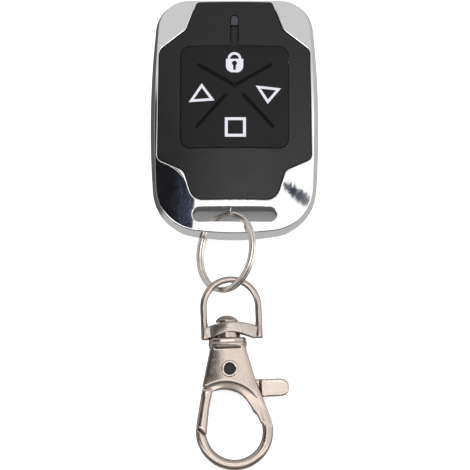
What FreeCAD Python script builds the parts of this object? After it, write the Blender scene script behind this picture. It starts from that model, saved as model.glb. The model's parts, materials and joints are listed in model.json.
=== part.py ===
import FreeCAD, Part

import math
import os
import re
from types import SimpleNamespace

from FreeCAD import Placement, Rotation, Vector

# Cloning remote control: a die-cast fob with a four-key pad, on a split ring with a swivel clasp.
# Millimetres. The origin is the centre of the fob's flat back.
# +X runs to the right, +Y to the lamp end and +Z out of the keys.

SIZES = {
    # fob outline, seen from the front
    "body_width": 40.4,
    "body_length": 59.0,
    "side_bow_radius": 230.0,
    "side_bow_middle": -1.5,
    "top_corner_radius": 8.0,
    "bottom_corner_radius": 12.0,
    "bottom_bow_radius": 56.0,
    # fob thickness: the face is domed both ways, the wall bulges at the belly
    "face_height": 12.4,
    "dome_radius_across": 85.0,
    "dome_radius_along": 150.0,
    "belly_height": 5.0,
    "wall_draft_above": 12.5,
    "wall_draft_below": 19.0,
    "belly_rounding": 2.6,
    "frame_base": 1.0,
    "frame_face_drop": 0.15,
    "frame_wall": 1.3,
    "face_edge_rounding": 0.45,
    "shell_recess_depth": 1.5,
    "ceiling_gap": 0.05,
    "cavity_end": 17.2,
    "cavity_corner_radius": 2.5,
    # keyring end: a thinner tongue with a slot through it
    "tongue_underside": 5.2,
    "tongue_relief_radius": 6.0,
    "tongue_wall": 1.2,
    "slot_length": 20.0,
    "slot_width": 3.4,
    "slot_bar": 2.85,
    "slot_mouth_rounding": 0.2,
    # front shell
    "shell_gap": 0.12,
    "shell_thickness": 1.3,
    "neck_half_width": 8.9,
    "neck_end_inset": 1.4,
    "neck_root_half_width": 11.5,
    "neck_root": 21.0,
    "shoulder_inset": 2.25,
    "shoulder": 16.1,
    "waist_inset": 1.9,
    "waist_end": 10.4,
    "skirt_root_half_width": 12.0,
    "skirt_root": 13.4,
    "skirt_half_width": 9.8,
    "skirt_end": 20.5,
    "neck_corner_radius": 0.8,
    "neck_root_radius": 2.0,
    "shoulder_radius": 2.6,
    "waist_radius": 1.6,
    "skirt_root_radius": 2.2,
    "skirt_corner_radius": 3.2,
    # lamp groove and window in the neck
    "lamp_groove_half_width": 0.95,
    "lamp_groove_depth": 0.8,
    "lamp_groove_end": 4.9,
    "lamp_groove_overlap": 1.0,
    "lens_length": 2.4,
    "lens_drop": 0.12,
    "lens_gap": 0.05,
    "lens_base": 7.8,
    # key pad
    "pad_half_width": 12.9,
    "pad_top": 16.9,
    "pad_bottom": 8.3,
    "pad_corner_radius": 2.4,
    "pad_raise": 0.25,
    "pad_gap": 0.1,
    "pad_margin": 0.9,
    "pad_flange": 1.0,
    "pad_flange_base": 8.5,
    "pad_sheet": 0.5,
    "key_gap": 0.12,
    "key_lift": 0.4,
    "key_cross": 6.95,
    "upper_groove_reach": 10.56,
    "upper_groove_slope": 31.0,
    "lower_groove_start": 3.15,
    "lower_groove_reach": 13.9,
    "lower_groove_slope": 47.7,
    "groove_width": 1.0,
    "groove_depth": 0.6,
    # key stubs and the small switches below them
    "stub_radius": 2.3,
    "stub_clearance": 0.3,
    "stub_overlap": 0.4,
    "side_key_reach": 7.6,
    "side_key_y": 5.4,
    "top_key_y": 12.4,
    "bottom_key_y": -3.4,
    "switch_side": 4.8,
    "switch_body": 1.8,
    "switch_cover": 0.2,
    "switch_button_radius": 1.3,
    "switch_button_rise": 0.6,
    "switch_button_sink": 0.5,
    "switch_clearance": 0.1,
    "key_travel": 0.3,
    # board and its parts
    "board_base": 5.4,
    "board_thickness": 0.8,
    "board_top": 24.6,
    "board_bottom": 7.4,
    "board_edge_gap": 0.35,
    "board_hole_gap": 0.2,
    "chip_length": 5.0,
    "chip_width": 3.9,
    "chip_height": 1.4,
    "chip_leg": 1.0,
    "chip_leg_width": 0.4,
    "chip_leg_pitch": 1.27,
    "chip_y": 4.5,
    "resonator_radius": 2.3,
    "resonator_flange": 0.25,
    "resonator_height": 1.6,
    "resonator_inset": 8.0,
    "resonator_y": 15.4,
    "capacitor_length": 1.6,
    "capacitor_width": 0.8,
    "capacitor_x": 4.7,
    "capacitor_y": 17.2,
    "capacitor_step": 1.6,
    "edge_capacitor_inset": 6.6,
    "edge_capacitor_y": 11.0,
    "lamp_side": 1.7,
    "lamp_height": 1.2,
    "aerial_x": 3.0,
    "aerial_y": 9.0,
    "aerial_radius": 1.6,
    "aerial_wire": 0.5,
    "aerial_pitch": 0.95,
    "aerial_turns": 4,
    # battery bay
    "battery_radius": 4.0,
    "battery_y": -12.3,
    "battery_height": 5.1,
    "battery_tip_radius": 1.6,
    "battery_tip": 0.6,
    "battery_clearance": 0.12,
    "battery_spring_room": 3.3,
    "battery_bump": 1.3,
    "battery_spring_radius": 2.6,
    "battery_spring_wire": 0.5,
    "battery_spring_turns": 3,
    "contact_thickness": 0.4,
    "contact_width": 6.4,
    "contact_gap": 0.1,
    # back cover and its screws
    "cover_thickness": 1.2,
    "cover_step": 0.7,
    "cover_rim": 1.0,
    "cover_rim_height": 1.3,
    "cover_edge_chamfer": 0.45,
    "cover_clearance": 0.1,
    "cover_end_gap": 0.3,
    "boss_radius": 2.4,
    "post_radius": 2.0,
    "screw_radius": 1.0,
    "screw_clearance": 0.04,
    "screw_way": 0.15,
    "screw_head_radius": 1.75,
    "screw_head_height": 1.1,
    "screw_head_sink": 0.3,
    "screw_length": 7.6,
    "pilot_spare": 0.3,
    "upper_screw_x": 8.6,
    "upper_screw_y": 19.9,
    "lower_screw_inset": 5.6,
    "lower_screw_y": -4.6,
    # split ring
    "ring_radius": 10.0,
    "ring_radial": 1.3,
    "ring_turn": 0.72,
    "ring_turn_gap": 0.06,
    "ring_tilt": 48.0,
    "ring_x": -2.0,
    "ring_drop": 5.5,
    "ring_rise": 2.78,
    "ring_jog_angle": 36.0,
    "ring_jog_place": 120.0,
    "ring_end_gap": 4.0,
    # swivel bail, in the clasp's own frame: origin at the collar's top, along the swivel axis
    "clasp_x": -1.7,
    "clasp_drop": 19.95,
    "clasp_lean": 2.3,
    "clasp_pitch": 8.0,
    "table_gap": 0.03,
    "bail_wire": 1.6,
    "bail_width": 14.65,
    "bail_height": 13.95,
    "bail_shift": 1.1,
    "bail_foot": 0.05,
    "bail_band": 2.85,
    "bail_band_depth": 3.0,
    "bail_band_bow": 22.0,
    "bail_boss_rise": 0.1,
    "bail_boss_radius": 3.1,
    "swivel_radius": 1.5,
    "swivel_clearance": 0.06,
    "swivel_head_radius": 2.65,
    "swivel_head_height": 1.6,
    "swivel_head_rim": 0.35,
    "swivel_head_gap": 0.08,
    "swivel_depth": 3.3,
    # clasp
    "collar_width": 8.7,
    "collar_depth": 6.2,
    "collar_height": 2.3,
    "collar_drop": 0.8,
    "collar_rounding": 0.2,
    "collar_ridge": 0.2,
    "collar_ridge_height": 0.5,
    "collar_ridge_drop": 2.0,
    "clasp_length": 32.1,
    "loop_outer_radius": 9.15,
    "loop_section": 2.4,
    "loop_shift": 0.8,
    "loop_thickness": 3.2,
    "cheek_thickness": 4.6,
    "cast_rounding": 0.85,
    "cheek_rounding": 0.5,
    "cheek_top": 2.7,
    "cheek_top_half": 4.05,
    "cheek_foot_x": 6.4,
    "cheek_foot_y": 12.1,
    "cheek_bend_x": 6.2,
    "cheek_bend_y": 10.9,
    "cheek_arch_x": 1.2,
    "cheek_arch_y": 20.1,
    "cheek_arch_radius": 8.85,
    "cheek_arch_start": 118.0,
    "cheek_arch_end": 5.0,
    "eye_arch_x": 1.7,
    "eye_arch_y": 19.9,
    "eye_arch_radius": 7.2,
    "eye_arch_end": 11.0,
    "eye_loop_start": 33.0,
    "nose_outer_angle": 172.0,
    "nose_inner_angle": 186.0,
    "throat_left": 0.8,
    "channel_top": 4.6,
    "channel_foot": 14.15,
    "channel_slope": 19.0,
    "channel_width": 1.9,
    "gate_hub_thickness": 1.6,
    "gate_pivot_x": 0.2,
    "gate_pivot_y": -8.1,
    "gate_hub_radius": 3.0,
    "gate_rivet_radius": 1.5,
    "gate_rivet_bore": 1.1,
    "gate_rivet_rim": 0.4,
    "gate_rivet_rim_height": 0.3,
    "gate_rivet_fit": 0.02,
    "gate_running_gap": 0.06,
    "gate_nose_gap": 0.15,
    "web_gap": 0.3,
    "web_overlap": 1.0,
    "web_left_x": 6.0,
    "web_left_y": 11.4,
    "web_right": 8.6,
    "web_shoulder": 5.9,
    "arm_top": 12.5,
    "arm_inner_top": 3.9,
    "arm_inner_bend_x": 5.0,
    "arm_inner_bend_y": 17.0,
    "tab_thickness": 2.6,
    "tab_root": 8.35,
    "tab_middle": 12.9,
    "tab_reach": 14.2,
    "tab_width": 4.1,
    "gate_spring_radius": 2.05,
    "gate_spring_wire": 0.3,
    "gate_spring_turns": 2,
    "gate_spring_pitch_gap": 0.05,
    "gate_spring_gap": 0.03,
}

# Two measures closer than this count as the same
NEAR = 0.01

doc = FreeCAD.newDocument("cloning_remote")
sheet = doc.addObject("Spreadsheet::Sheet", "Sizes")
for row, (alias, value) in enumerate(SIZES.items(), start=1):
    sheet.set(f"A{row}", alias)
    sheet.set(f"B{row}", str(value))
    sheet.setAlias(f"B{row}", alias)
doc.recompute()
S = SimpleNamespace(**{alias: float(sheet.get(alias)) for alias in SIZES})


def cell(expression):
    """The expression with each size name pointed at the sheet."""
    return re.sub(r"[a-z_]+", lambda m: "Sizes." + m.group() if m.group() in SIZES else m.group(),
                  expression)


def bind(thing, links):
    for prop, expression in links.items():
        thing.setExpression(prop, cell(expression))


def stand(thing, x="0", y="0", z="0"):
    bind(thing, {"Placement.Base.x": x, "Placement.Base.y": y, "Placement.Base.z": z})
    return thing


def block(name, x, y, z):
    """A box from its low and high expression on each axis."""
    box = doc.addObject("Part::Box", name)
    bind(box, {prop: f"({high}) - ({low})" for prop, (low, high) in zip(("Length", "Width", "Height"), (x, y, z))})
    return stand(box, x[0], y[0], z[0])


def rod(name, radius, low, high, x="0", y="0", along="Z"):
    """A cylinder between two expressions, along Z at (x, y), or along X at (y, z) given as x and y."""
    cylinder = doc.addObject("Part::Cylinder", name)
    bind(cylinder, {"Radius": radius, "Height": f"({high}) - ({low})"})
    if along == "X":
        cylinder.Placement.Rotation = Rotation(Vector(0, 1, 0), 90)
        return stand(cylinder, low, x, y)
    return stand(cylinder, x, y, low)


def join(name, pieces):
    union = doc.addObject("Part::MultiFuse", name)
    union.Shapes = pieces
    union.Refine = True
    return union


def common(name, pieces):
    overlap = doc.addObject("Part::MultiCommon", name)
    overlap.Shapes = pieces
    return overlap


def cut(name, base, *tools):
    for number, tool in enumerate(tools):
        left = doc.addObject("Part::Cut", name if number == len(tools) - 1 else f"{name}_cut{number}")
        left.Base = base
        left.Tool = tool
        left.Refine = True
        base = left
    return base


def outline(name, edges, z="0"):
    """A sketch of a closed outline, lying at a height."""
    sketch = doc.addObject("Sketcher::SketchObject", name)
    sketch.addGeometry(edges, False)
    return stand(sketch, z=z)


def prism(name, edges, low, high, taper=0):
    """The outline drawn up from one height to another; a taper in degrees draws the walls in."""
    solid = doc.addObject("Part::Extrusion", name)
    solid.Base = outline(name + "_outline", edges, low)
    solid.DirMode = "Custom"
    solid.Dir = Vector(0, 0, 1)
    solid.Solid = True
    bind(solid, {"LengthFwd": f"({high}) - ({low})"})
    if taper:
        bind(solid, {"TaperAngle": taper})
    return solid


def round_edges(name, base, radius, test, chamfer=False):
    """Rounds the edges of a piece that pass a test."""
    doc.recompute()
    kind = "Part::Chamfer" if chamfer else "Part::Fillet"
    rounded = doc.addObject(kind, name)
    rounded.Base = base
    rounded.Edges = [(n, radius, radius) for n, edge in enumerate(base.Shape.Edges, start=1) if test(edge)]
    return rounded


# Outlines in the plane

def arc(centre, radius, start, end):
    """An arc run anticlockwise from one angle to another, in degrees."""
    circle = Part.Circle(Vector(*centre, 0), Vector(0, 0, 1), radius)
    return Part.ArcOfCircle(circle, math.radians(start), math.radians(end))


def line(start, end):
    return Part.LineSegment(Vector(*start, 0), Vector(*end, 0))


def heading(start, end):
    return math.degrees(math.atan2(end[1] - start[1], end[0] - start[0]))


def polar(centre, radius, angle):
    return (centre[0] + radius * math.cos(math.radians(angle)), centre[1]
            + radius * math.sin(math.radians(angle)))


def meeting(first, first_radius, second, second_radius):
    """The right-hand point where two circles meet."""
    apart = math.dist(first, second)
    along = (apart ** 2 + first_radius ** 2 - second_radius ** 2) / (2 * apart)
    across = math.sqrt(first_radius ** 2 - along ** 2)
    ux, uy = (second[0] - first[0]) / apart, (second[1] - first[1]) / apart
    points = [(first[0] + ux * along - s * uy * across, first[1] + uy * along + s * ux * across)
              for s in (1, -1)]
    return max(points)


def rounded(corners):
    """A closed outline of straight sides through (x, y, radius) corners, each rounded by its radius."""
    spots = [(Vector(x, y, 0), radius) for x, y, radius in corners]
    starts, ends, bends = [], [], []
    for n, (corner, radius) in enumerate(spots):
        back = (spots[n - 1][0] - corner).normalize()
        ahead = (spots[(n + 1) % len(spots)][0] - corner).normalize()
        half = back.getAngle(ahead) / 2
        reach = radius / math.tan(half)
        starts.append(corner + back * reach)
        ends.append(corner + ahead * reach)
        middle = corner + (back + ahead).normalize() * (radius / math.sin(half) - radius)
        bends.append(Part.Arc(starts[-1], middle, ends[-1]) if radius > 0 else None)
    edges = []
    for n, bend in enumerate(bends):
        if bend:
            edges.append(Part.ArcOfCircle(bend.toShape().Curve, *bend.toShape().ParameterRange))
        edges.append(Part.LineSegment(ends[n], starts[(n + 1) % len(spots)]))
    return edges


def mirrored(right):
    """Corners down the right side, then the same corners back up the left side."""
    return right + [(-x, y, radius) for x, y, radius in reversed(right)]


def body_outline(inset=0.0):
    """The fob's plan: bowed sides, four corners, a straight top and a bowed bottom, all tangent."""
    top = S.body_length / 2
    side = (S.body_width / 2 - S.side_bow_radius, S.side_bow_middle)
    bottom = (0, S.bottom_bow_radius - top)
    reach = S.side_bow_radius - S.top_corner_radius
    rise = top - S.top_corner_radius - side[1]
    upper = (side[0] + math.sqrt(reach ** 2 - rise ** 2), top - S.top_corner_radius)
    lower = meeting(side, S.side_bow_radius - S.bottom_corner_radius,
                    bottom, S.bottom_bow_radius - S.bottom_corner_radius)
    turn_up, turn_down, turn_base = heading(side, upper), heading(side, lower), heading(bottom, lower)
    left = [(-point[0], point[1]) for point in (side, upper, lower)]
    return [
        line((upper[0], top - inset), (left[1][0], top - inset)),
        arc(left[1], S.top_corner_radius - inset, 90, 180 - turn_up),
        arc(left[0], S.side_bow_radius - inset, 180 - turn_up, 180 - turn_down),
        arc(left[2], S.bottom_corner_radius - inset, 180 - turn_down, 180 - turn_base),
        arc(bottom, S.bottom_bow_radius - inset, 180 - turn_base, turn_base + 360),
        arc(lower, S.bottom_corner_radius - inset, turn_base, turn_down),
        arc(side, S.side_bow_radius - inset, turn_down, turn_up),
        arc(upper, S.top_corner_radius - inset, turn_up, 90),
    ]


def shell_outline(grow=0.0):
    """The black front: neck, shoulders, waist and the skirt towards the keyring."""
    top = S.body_length / 2 - S.neck_end_inset
    side = S.body_width / 2
    return rounded(mirrored([
        (S.neck_half_width + grow, top + grow, S.neck_corner_radius + grow),
        (S.neck_root_half_width + grow, S.neck_root + grow, S.neck_root_radius - grow),
        (side - S.shoulder_inset + grow, S.shoulder + grow, S.shoulder_radius + grow),
        (side - S.waist_inset + grow, -S.waist_end - grow, S.waist_radius + grow),
        (S.skirt_root_half_width + grow, -S.skirt_root - grow, S.skirt_root_radius - grow),
        (S.skirt_half_width + grow, -S.skirt_end - grow, S.skirt_corner_radius + grow),
    ]))


def pad_outline(grow=0.0):
    radius = S.pad_corner_radius + grow
    return rounded(mirrored([
        (S.pad_half_width + grow, S.pad_top + grow, radius),
        (S.pad_half_width + grow, -S.pad_bottom - grow, radius),
    ]))


def stadium(length, width, y):
    half = width / 2
    reach = length / 2 - half
    return [
        line((-reach, y - half), (reach, y - half)),
        arc((reach, y), half, -90, 90),
        line((reach, y + half), (-reach, y + half)),
        arc((-reach, y), half, 90, 270),
    ]


def dome(name, lift=0.0):
    """The space below the domed face, raised or lowered: an arc across, swept along a longer arc."""
    half = S.body_width * 0.75
    radius = S.dome_radius_across + lift
    centre = S.face_height - S.dome_radius_across
    edge = centre + math.sqrt(radius ** 2 - half ** 2)
    top = Part.Arc(Vector(-half, edge, 0), Vector(0, centre + radius, 0), Vector(half, edge, 0)).toShape()
    sketch = doc.addObject("Sketcher::SketchObject", name + "_section")
    sketch.addGeometry([Part.ArcOfCircle(top.Curve, *top.ParameterRange)], False)
    sketch.addGeometry([line((half, edge), (half, -5)), line((half, -5), (-half, -5)),
                        line((-half, -5), (-half, edge))],
                       False)
    sketch.Placement.Rotation = Rotation(Vector(1, 0, 0), 90)
    swept = doc.addObject("Part::Revolution", name)
    swept.Source = sketch
    swept.Axis = Vector(1, 0, 0)
    swept.Angle = 30
    swept.Symmetric = True
    swept.Solid = True
    bind(swept, {"Base.z": "face_height - dome_radius_along"})
    return swept


# Heights that several pieces share
ABOVE = "face_height + 1"
BOARD_FACE = "board_base + board_thickness"
STUB_END = f"{BOARD_FACE} + switch_body + switch_cover + switch_button_rise"
SHEET_TOP = "pad_flange_base + pad_sheet"
KEY_BASE = f"{SHEET_TOP} + key_lift"
SCREW_END = "screw_head_sink + screw_head_height + screw_length"
KEYS = {
    "lock": ("0", "top_key_y"),
    "up": ("-side_key_reach", "side_key_y"),
    "down": ("side_key_reach", "side_key_y"),
    "stop": ("0", "bottom_key_y"),
}
SCREWS = {
    "upper_right": ("upper_screw_x", "upper_screw_y"),
    "upper_left": ("-upper_screw_x", "upper_screw_y"),
    "lower_right": ("(body_width / 2 - lower_screw_inset)", "lower_screw_y"),
    "lower_left": ("(lower_screw_inset - body_width / 2)", "lower_screw_y"),
}
foot_inset = (S.belly_height - S.frame_base) * math.tan(math.radians(S.wall_draft_below))
cavity_inset = foot_inset + S.frame_wall
nodes = {}


def keep(name, thing):
    """Names a finished sub-part."""
    thing.Label = name
    nodes[name] = thing
    return thing


def bay(name, inset, end, corner, low, high):
    """The fob's inner space: its plan drawn in, and closed off square before the keyring end."""
    plan = prism(name + "_plan", body_outline(inset), low, high)
    wide = S.body_width
    stop = rounded([(wide, S.body_length, 0), (-wide, S.body_length, 0), (-wide, -end, 0), (wide, -end, 0)])
    space = common(name, [plan, prism(name + "_stop", stop, low, high)])
    return round_edges(name + "_rounded", space, corner,
                       lambda e: e.BoundBox.YMax < NEAR - end and e.BoundBox.XLength < NEAR)


def bay_half_width(y):
    """Half the width of the inner space at a place along the fob."""
    radius = S.side_bow_radius - cavity_inset
    return S.body_width / 2 - S.side_bow_radius + math.sqrt(radius ** 2 - (y - S.side_bow_middle) ** 2)


def chrome_frame():
    """The one-piece casting: bulging walls, horns, side rails and the slotted tongue."""
    upper = prism("frame_upper_wall", body_outline(), "belly_height", ABOVE, "-wall_draft_above")
    lower = prism("frame_lower_wall", body_outline(foot_inset), "frame_base", "belly_height",
                  "wall_draft_below")
    block_all = join("frame_block", [upper, lower])
    block_all = round_edges("frame_belly", block_all, S.belly_rounding,
                            lambda e: abs(e.BoundBox.ZMin - S.belly_height) < NEAR
                            and abs(e.BoundBox.ZMax - S.belly_height) < NEAR)
    domed = common("frame_domed", [block_all, dome("frame_dome", -S.frame_face_drop)])
    domed = round_edges("frame_face_edge", domed, S.face_edge_rounding,
                        lambda e: e.BoundBox.ZMin > S.belly_height + S.belly_rounding
                        and e.BoundBox.ZMax < S.face_height - 0.5)
    recess = prism("shell_recess", shell_outline(S.shell_gap), "belly_height", ABOVE)
    recess = cut("shell_seat", recess, dome("recess_floor", -S.shell_recess_depth))
    inner = bay("frame_bay", cavity_inset, S.cavity_end, S.cavity_corner_radius, "frame_base - 1", ABOVE)
    inner = common("frame_cavity", [inner, dome("bay_ceiling", S.ceiling_gap - S.shell_recess_depth)])
    slot_y = slot_middle()
    slot = prism("keyring_slot", stadium(S.slot_length, S.slot_width, slot_y), "0", ABOVE)
    frame = cut("frame_cut", domed, recess, inner, tongue_relief(), slot)
    reach = S.slot_width / 2 + NEAR

    def slot_mouth(edge):
        box = edge.BoundBox
        beside = abs(box.Center.y - slot_y) < reach
        return beside and box.ZLength < S.face_height / 8 and box.ZMin > S.tongue_underside - NEAR

    frame = round_edges("slot_mouth", frame, S.slot_mouth_rounding, slot_mouth)
    return keep("chrome_frame", frame)


def slot_middle():
    return -(S.body_length / 2 - face_inset() - S.slot_bar - S.slot_width / 2)


def face_inset():
    """How far the face's lower edge lies inside the belly."""
    end = S.body_length / 2
    height = S.face_height - S.frame_face_drop - end ** 2 / (2 * S.dome_radius_along)
    return (height - S.belly_height) * math.tan(math.radians(S.wall_draft_above))


def tongue_relief():
    """The hollow under the tongue, a concave bend from the back up to the tongue's underside."""
    reach = S.body_length
    y = S.cavity_end + S.tongue_wall + S.tongue_relief_radius
    z = S.tongue_underside - S.tongue_relief_radius
    points = [Vector(0, -y + S.tongue_relief_radius, z), Vector(0, -y, S.tongue_underside)]
    middle = Vector(0, -y + S.tongue_relief_radius * math.sqrt(0.5), z
                    + S.tongue_relief_radius * math.sqrt(0.5))
    bend = Part.Arc(points[0], middle, points[1]).toShape()
    corners = [points[1], Vector(0, -reach, S.tongue_underside), Vector(0, -reach, -reach),
               Vector(0, points[0].y, -reach)]
    sides = Part.makePolygon(corners + [points[0]]).Edges
    relief = doc.addObject("Part::Feature", "tongue_relief")
    face = Part.Face(Part.Wire([bend] + sides))
    relief.Shape = face.extrude(Vector(S.body_width * 2, 0, 0))
    relief.Placement.Base = Vector(-S.body_width, 0, 0)
    return relief


def front_shell():
    """The black front: a domed shell with the pad window, the lamp groove and four screw posts."""
    block_all = prism("shell_block", shell_outline(), "belly_height", ABOVE)
    outer = common("shell_outer", [block_all, dome("shell_dome")])
    inside = common("shell_inside", [prism("shell_core", shell_outline(), "belly_height", ABOVE),
                                     dome("shell_ceiling", -S.shell_thickness)])
    skin = cut("shell_skin", outer, inside)
    posts = []
    for place, (x, y) in SCREWS.items():
        posts.append(rod(f"post_{place}", "post_radius", BOARD_FACE, "face_height", x, y))
    post_block = common("shell_posts", [join("posts_joined", posts), dome("posts_top", -S.shell_thickness / 2)])
    shell = join("shell_with_posts", [skin, post_block])
    window = prism("pad_window", pad_outline(S.pad_gap), "0", ABOVE)
    groove = prism("lamp_groove", lamp_outline(S.pad_top - S.lamp_groove_overlap, 0), "belly_height", ABOVE)
    groove = cut("lamp_groove_cut", groove, dome("lamp_groove_floor", -S.lamp_groove_depth))
    hole = prism("lens_hole", lamp_outline(lamp_groove_top() - S.lens_length, 0), "belly_height", ABOVE)
    pilots = [rod(f"pilot_{place}", "screw_radius + screw_clearance", "0", f"{SCREW_END} + pilot_spare", x,
                  y)
              for place, (x, y) in SCREWS.items()]
    shell = cut("shell_cut", shell, window, groove, hole, join("pilots_joined", pilots))
    return keep("front_shell", shell)


def lamp_groove_top():
    return S.body_length / 2 - S.lamp_groove_end


def lamp_outline(low, inset):
    """A strip up the neck to the end of the lamp groove, square below and round above."""
    half = S.lamp_groove_half_width
    end = lamp_groove_top() - half
    side = half - inset
    return [
        line((-side, low + inset), (side, low + inset)),
        line((side, low + inset), (side, end)),
        arc((0, end), side, 0, 180),
        line((-side, end), (-side, low + inset)),
    ]


def led_lens():
    """The clear window at the end of the lamp groove."""
    blank = prism("lens_blank", lamp_outline(lamp_groove_top() - S.lens_length, S.lens_gap), "lens_base",
                  ABOVE)
    return keep("led_lens", common("lens_domed", [blank, dome("lens_dome", -S.lens_drop)]))


def groove_arms():
    """The cross of grooves: two arms joined in a V above, two loose arms below."""
    arms = []
    upper = (0.0, S.upper_groove_reach, S.upper_groove_slope)
    lower = (S.lower_groove_start, S.lower_groove_reach, -S.lower_groove_slope)
    for place, (start, reach, slope) in (("upper", upper), ("lower", lower)):
        for side, angle in (("right", slope), ("left", 180 - slope)):
            half = S.groove_width / 2
            first = polar((0, S.key_cross), start, angle)
            last = polar((0, S.key_cross), reach - half, angle)
            edges = [
                line(polar(first, half, angle - 90), polar(last, half, angle - 90)),
                arc(last, half, angle - 90, angle + 90),
                line(polar(last, half, angle + 90), polar(first, half, angle + 90)),
                arc(first, half, angle + 90, angle + 270),
            ]
            arms.append(prism(f"groove_{place}_{side}", edges, KEY_BASE, ABOVE))
    return cut("key_grooves", join("groove_cross", arms),
               dome("groove_floor", S.pad_raise - S.groove_depth))


def key_sector(name):
    """The corners of one key's sector of the pad; the keys meet along the grooves' lines."""
    side, top, bottom = S.pad_half_width, S.pad_top, -S.pad_bottom
    high = S.key_cross + side * math.tan(math.radians(S.upper_groove_slope))
    low = S.key_cross - side * math.tan(math.radians(S.lower_groove_slope))
    centre = (0, S.key_cross)
    sectors = {
        "lock": [centre, (side, high), (side, top), (-side, top), (-side, high)],
        "down": [centre, (side, low), (side, high)],
        "up": [centre, (-side, high), (-side, low)],
        "stop": [centre, (-side, low), (-side, bottom), (side, bottom), (side, low)],
    }
    return rounded([(x, y, 0) for x, y in sectors[name]])


def key(name, grooves):
    """One key of the pad: a domed cap on a stub that stands on its switch."""
    sector = doc.addObject("Part::Offset2D", f"{name}_plan")
    sector.Source = outline(f"{name}_sector", key_sector(name), KEY_BASE)
    sector.Join = 2
    bind(sector, {"Value": "-key_gap / 2"})
    cap = doc.addObject("Part::Extrusion", f"{name}_block")
    cap.Base = sector
    cap.DirMode = "Custom"
    cap.Dir = Vector(0, 0, 1)
    cap.Solid = True
    bind(cap, {"LengthFwd": f"({ABOVE}) - ({KEY_BASE})"})
    well = prism(f"{name}_well", pad_outline(-S.pad_margin - S.key_gap), KEY_BASE, ABOVE)
    domed = common(f"{name}_domed", [cap, well, dome(f"{name}_dome", S.pad_raise)])
    grooved = cut(f"{name}_grooved", domed, grooves)
    x, y = KEYS[name]
    stub = rod(f"{name}_stub", "stub_radius", STUB_END, f"{KEY_BASE} + stub_overlap", x, y)
    return keep(f"{name}_button", join(f"{name}_key", [grooved, stub]))


def keypad_membrane():
    """The rubber sheet that carries the keys: a rim in the window, a flange below it and four stub holes."""
    rim = common("rim_domed", [prism("rim_block", pad_outline(), "pad_flange_base", ABOVE), dome("rim_dome", S.pad_raise)])
    flange = prism("pad_flange_block", pad_outline(S.pad_flange), "pad_flange_base", SHEET_TOP)
    posts = [rod(f"{place}_way", "boss_radius", "0", ABOVE, x, y) for place, (x, y) in SCREWS.items()]
    whole = join("membrane_block", [rim, cut("flange_cut", flange, join("post_ways", posts))])
    well = prism("key_well", pad_outline(-S.pad_margin), SHEET_TOP, ABOVE)
    holes = [rod(f"{name}_hole", "stub_radius + stub_clearance", "0", ABOVE, x, y) for name,
             (x, y) in KEYS.items()]
    return keep("keypad_membrane", cut("membrane_cut", whole, well, join("stub_holes", holes)))


def switches():
    """Four small push switches on the board: body, metal cover, and the button that each key presses."""
    bodies, covers = [], []
    for name, (x, y) in KEYS.items():
        half = "switch_side / 2"
        sides = ((f"{x} - {half}", f"{x} + {half}"), (f"{y} - {half}", f"{y} + {half}"))
        body = block(f"{name}_switch_block", *sides, (BOARD_FACE, f"{BOARD_FACE} + switch_body"))
        well = rod(f"{name}_switch_well", "switch_button_radius + switch_clearance",
                   f"{BOARD_FACE} + switch_body - switch_button_sink - key_travel - switch_clearance", ABOVE, x, y)
        bodies.append(cut(f"{name}_switch_body", body, well))
        cover = block(f"{name}_cover_plate", *sides,
                      (f"{BOARD_FACE} + switch_body", f"{BOARD_FACE} + switch_body + switch_cover"))
        covers.append(cut(f"{name}_cover_cut", cover, well))
        button = rod(f"{name}_switch_button", "switch_button_radius",
                     f"{BOARD_FACE} + switch_body - switch_button_sink", STUB_END, x, y)
        keep(f"{name}_plunger", button)
    for name, pieces in (("switch_housings", bodies), ("switch_covers", covers)):
        group = doc.addObject("Part::Compound", name)
        group.Links = pieces
        keep(name, group)


def circuit_board():
    """The board, cut to the bay above the battery and drilled for the screws."""
    plan = prism("board_plan", body_outline(cavity_inset + S.board_edge_gap), "board_base", BOARD_FACE)
    keep_in = block("board_limits", ("-body_width", "body_width"), ("-board_bottom", "board_top"),
                    ("board_base", BOARD_FACE))
    holes = [rod(f"board_hole_{place}", "screw_radius + board_hole_gap", "0", ABOVE, x, y) for place,
             (x, y) in SCREWS.items()]
    return keep("circuit_board", cut("board_cut", common("board_blank", [plan, keep_in]), join("board_holes", holes)))


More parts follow.
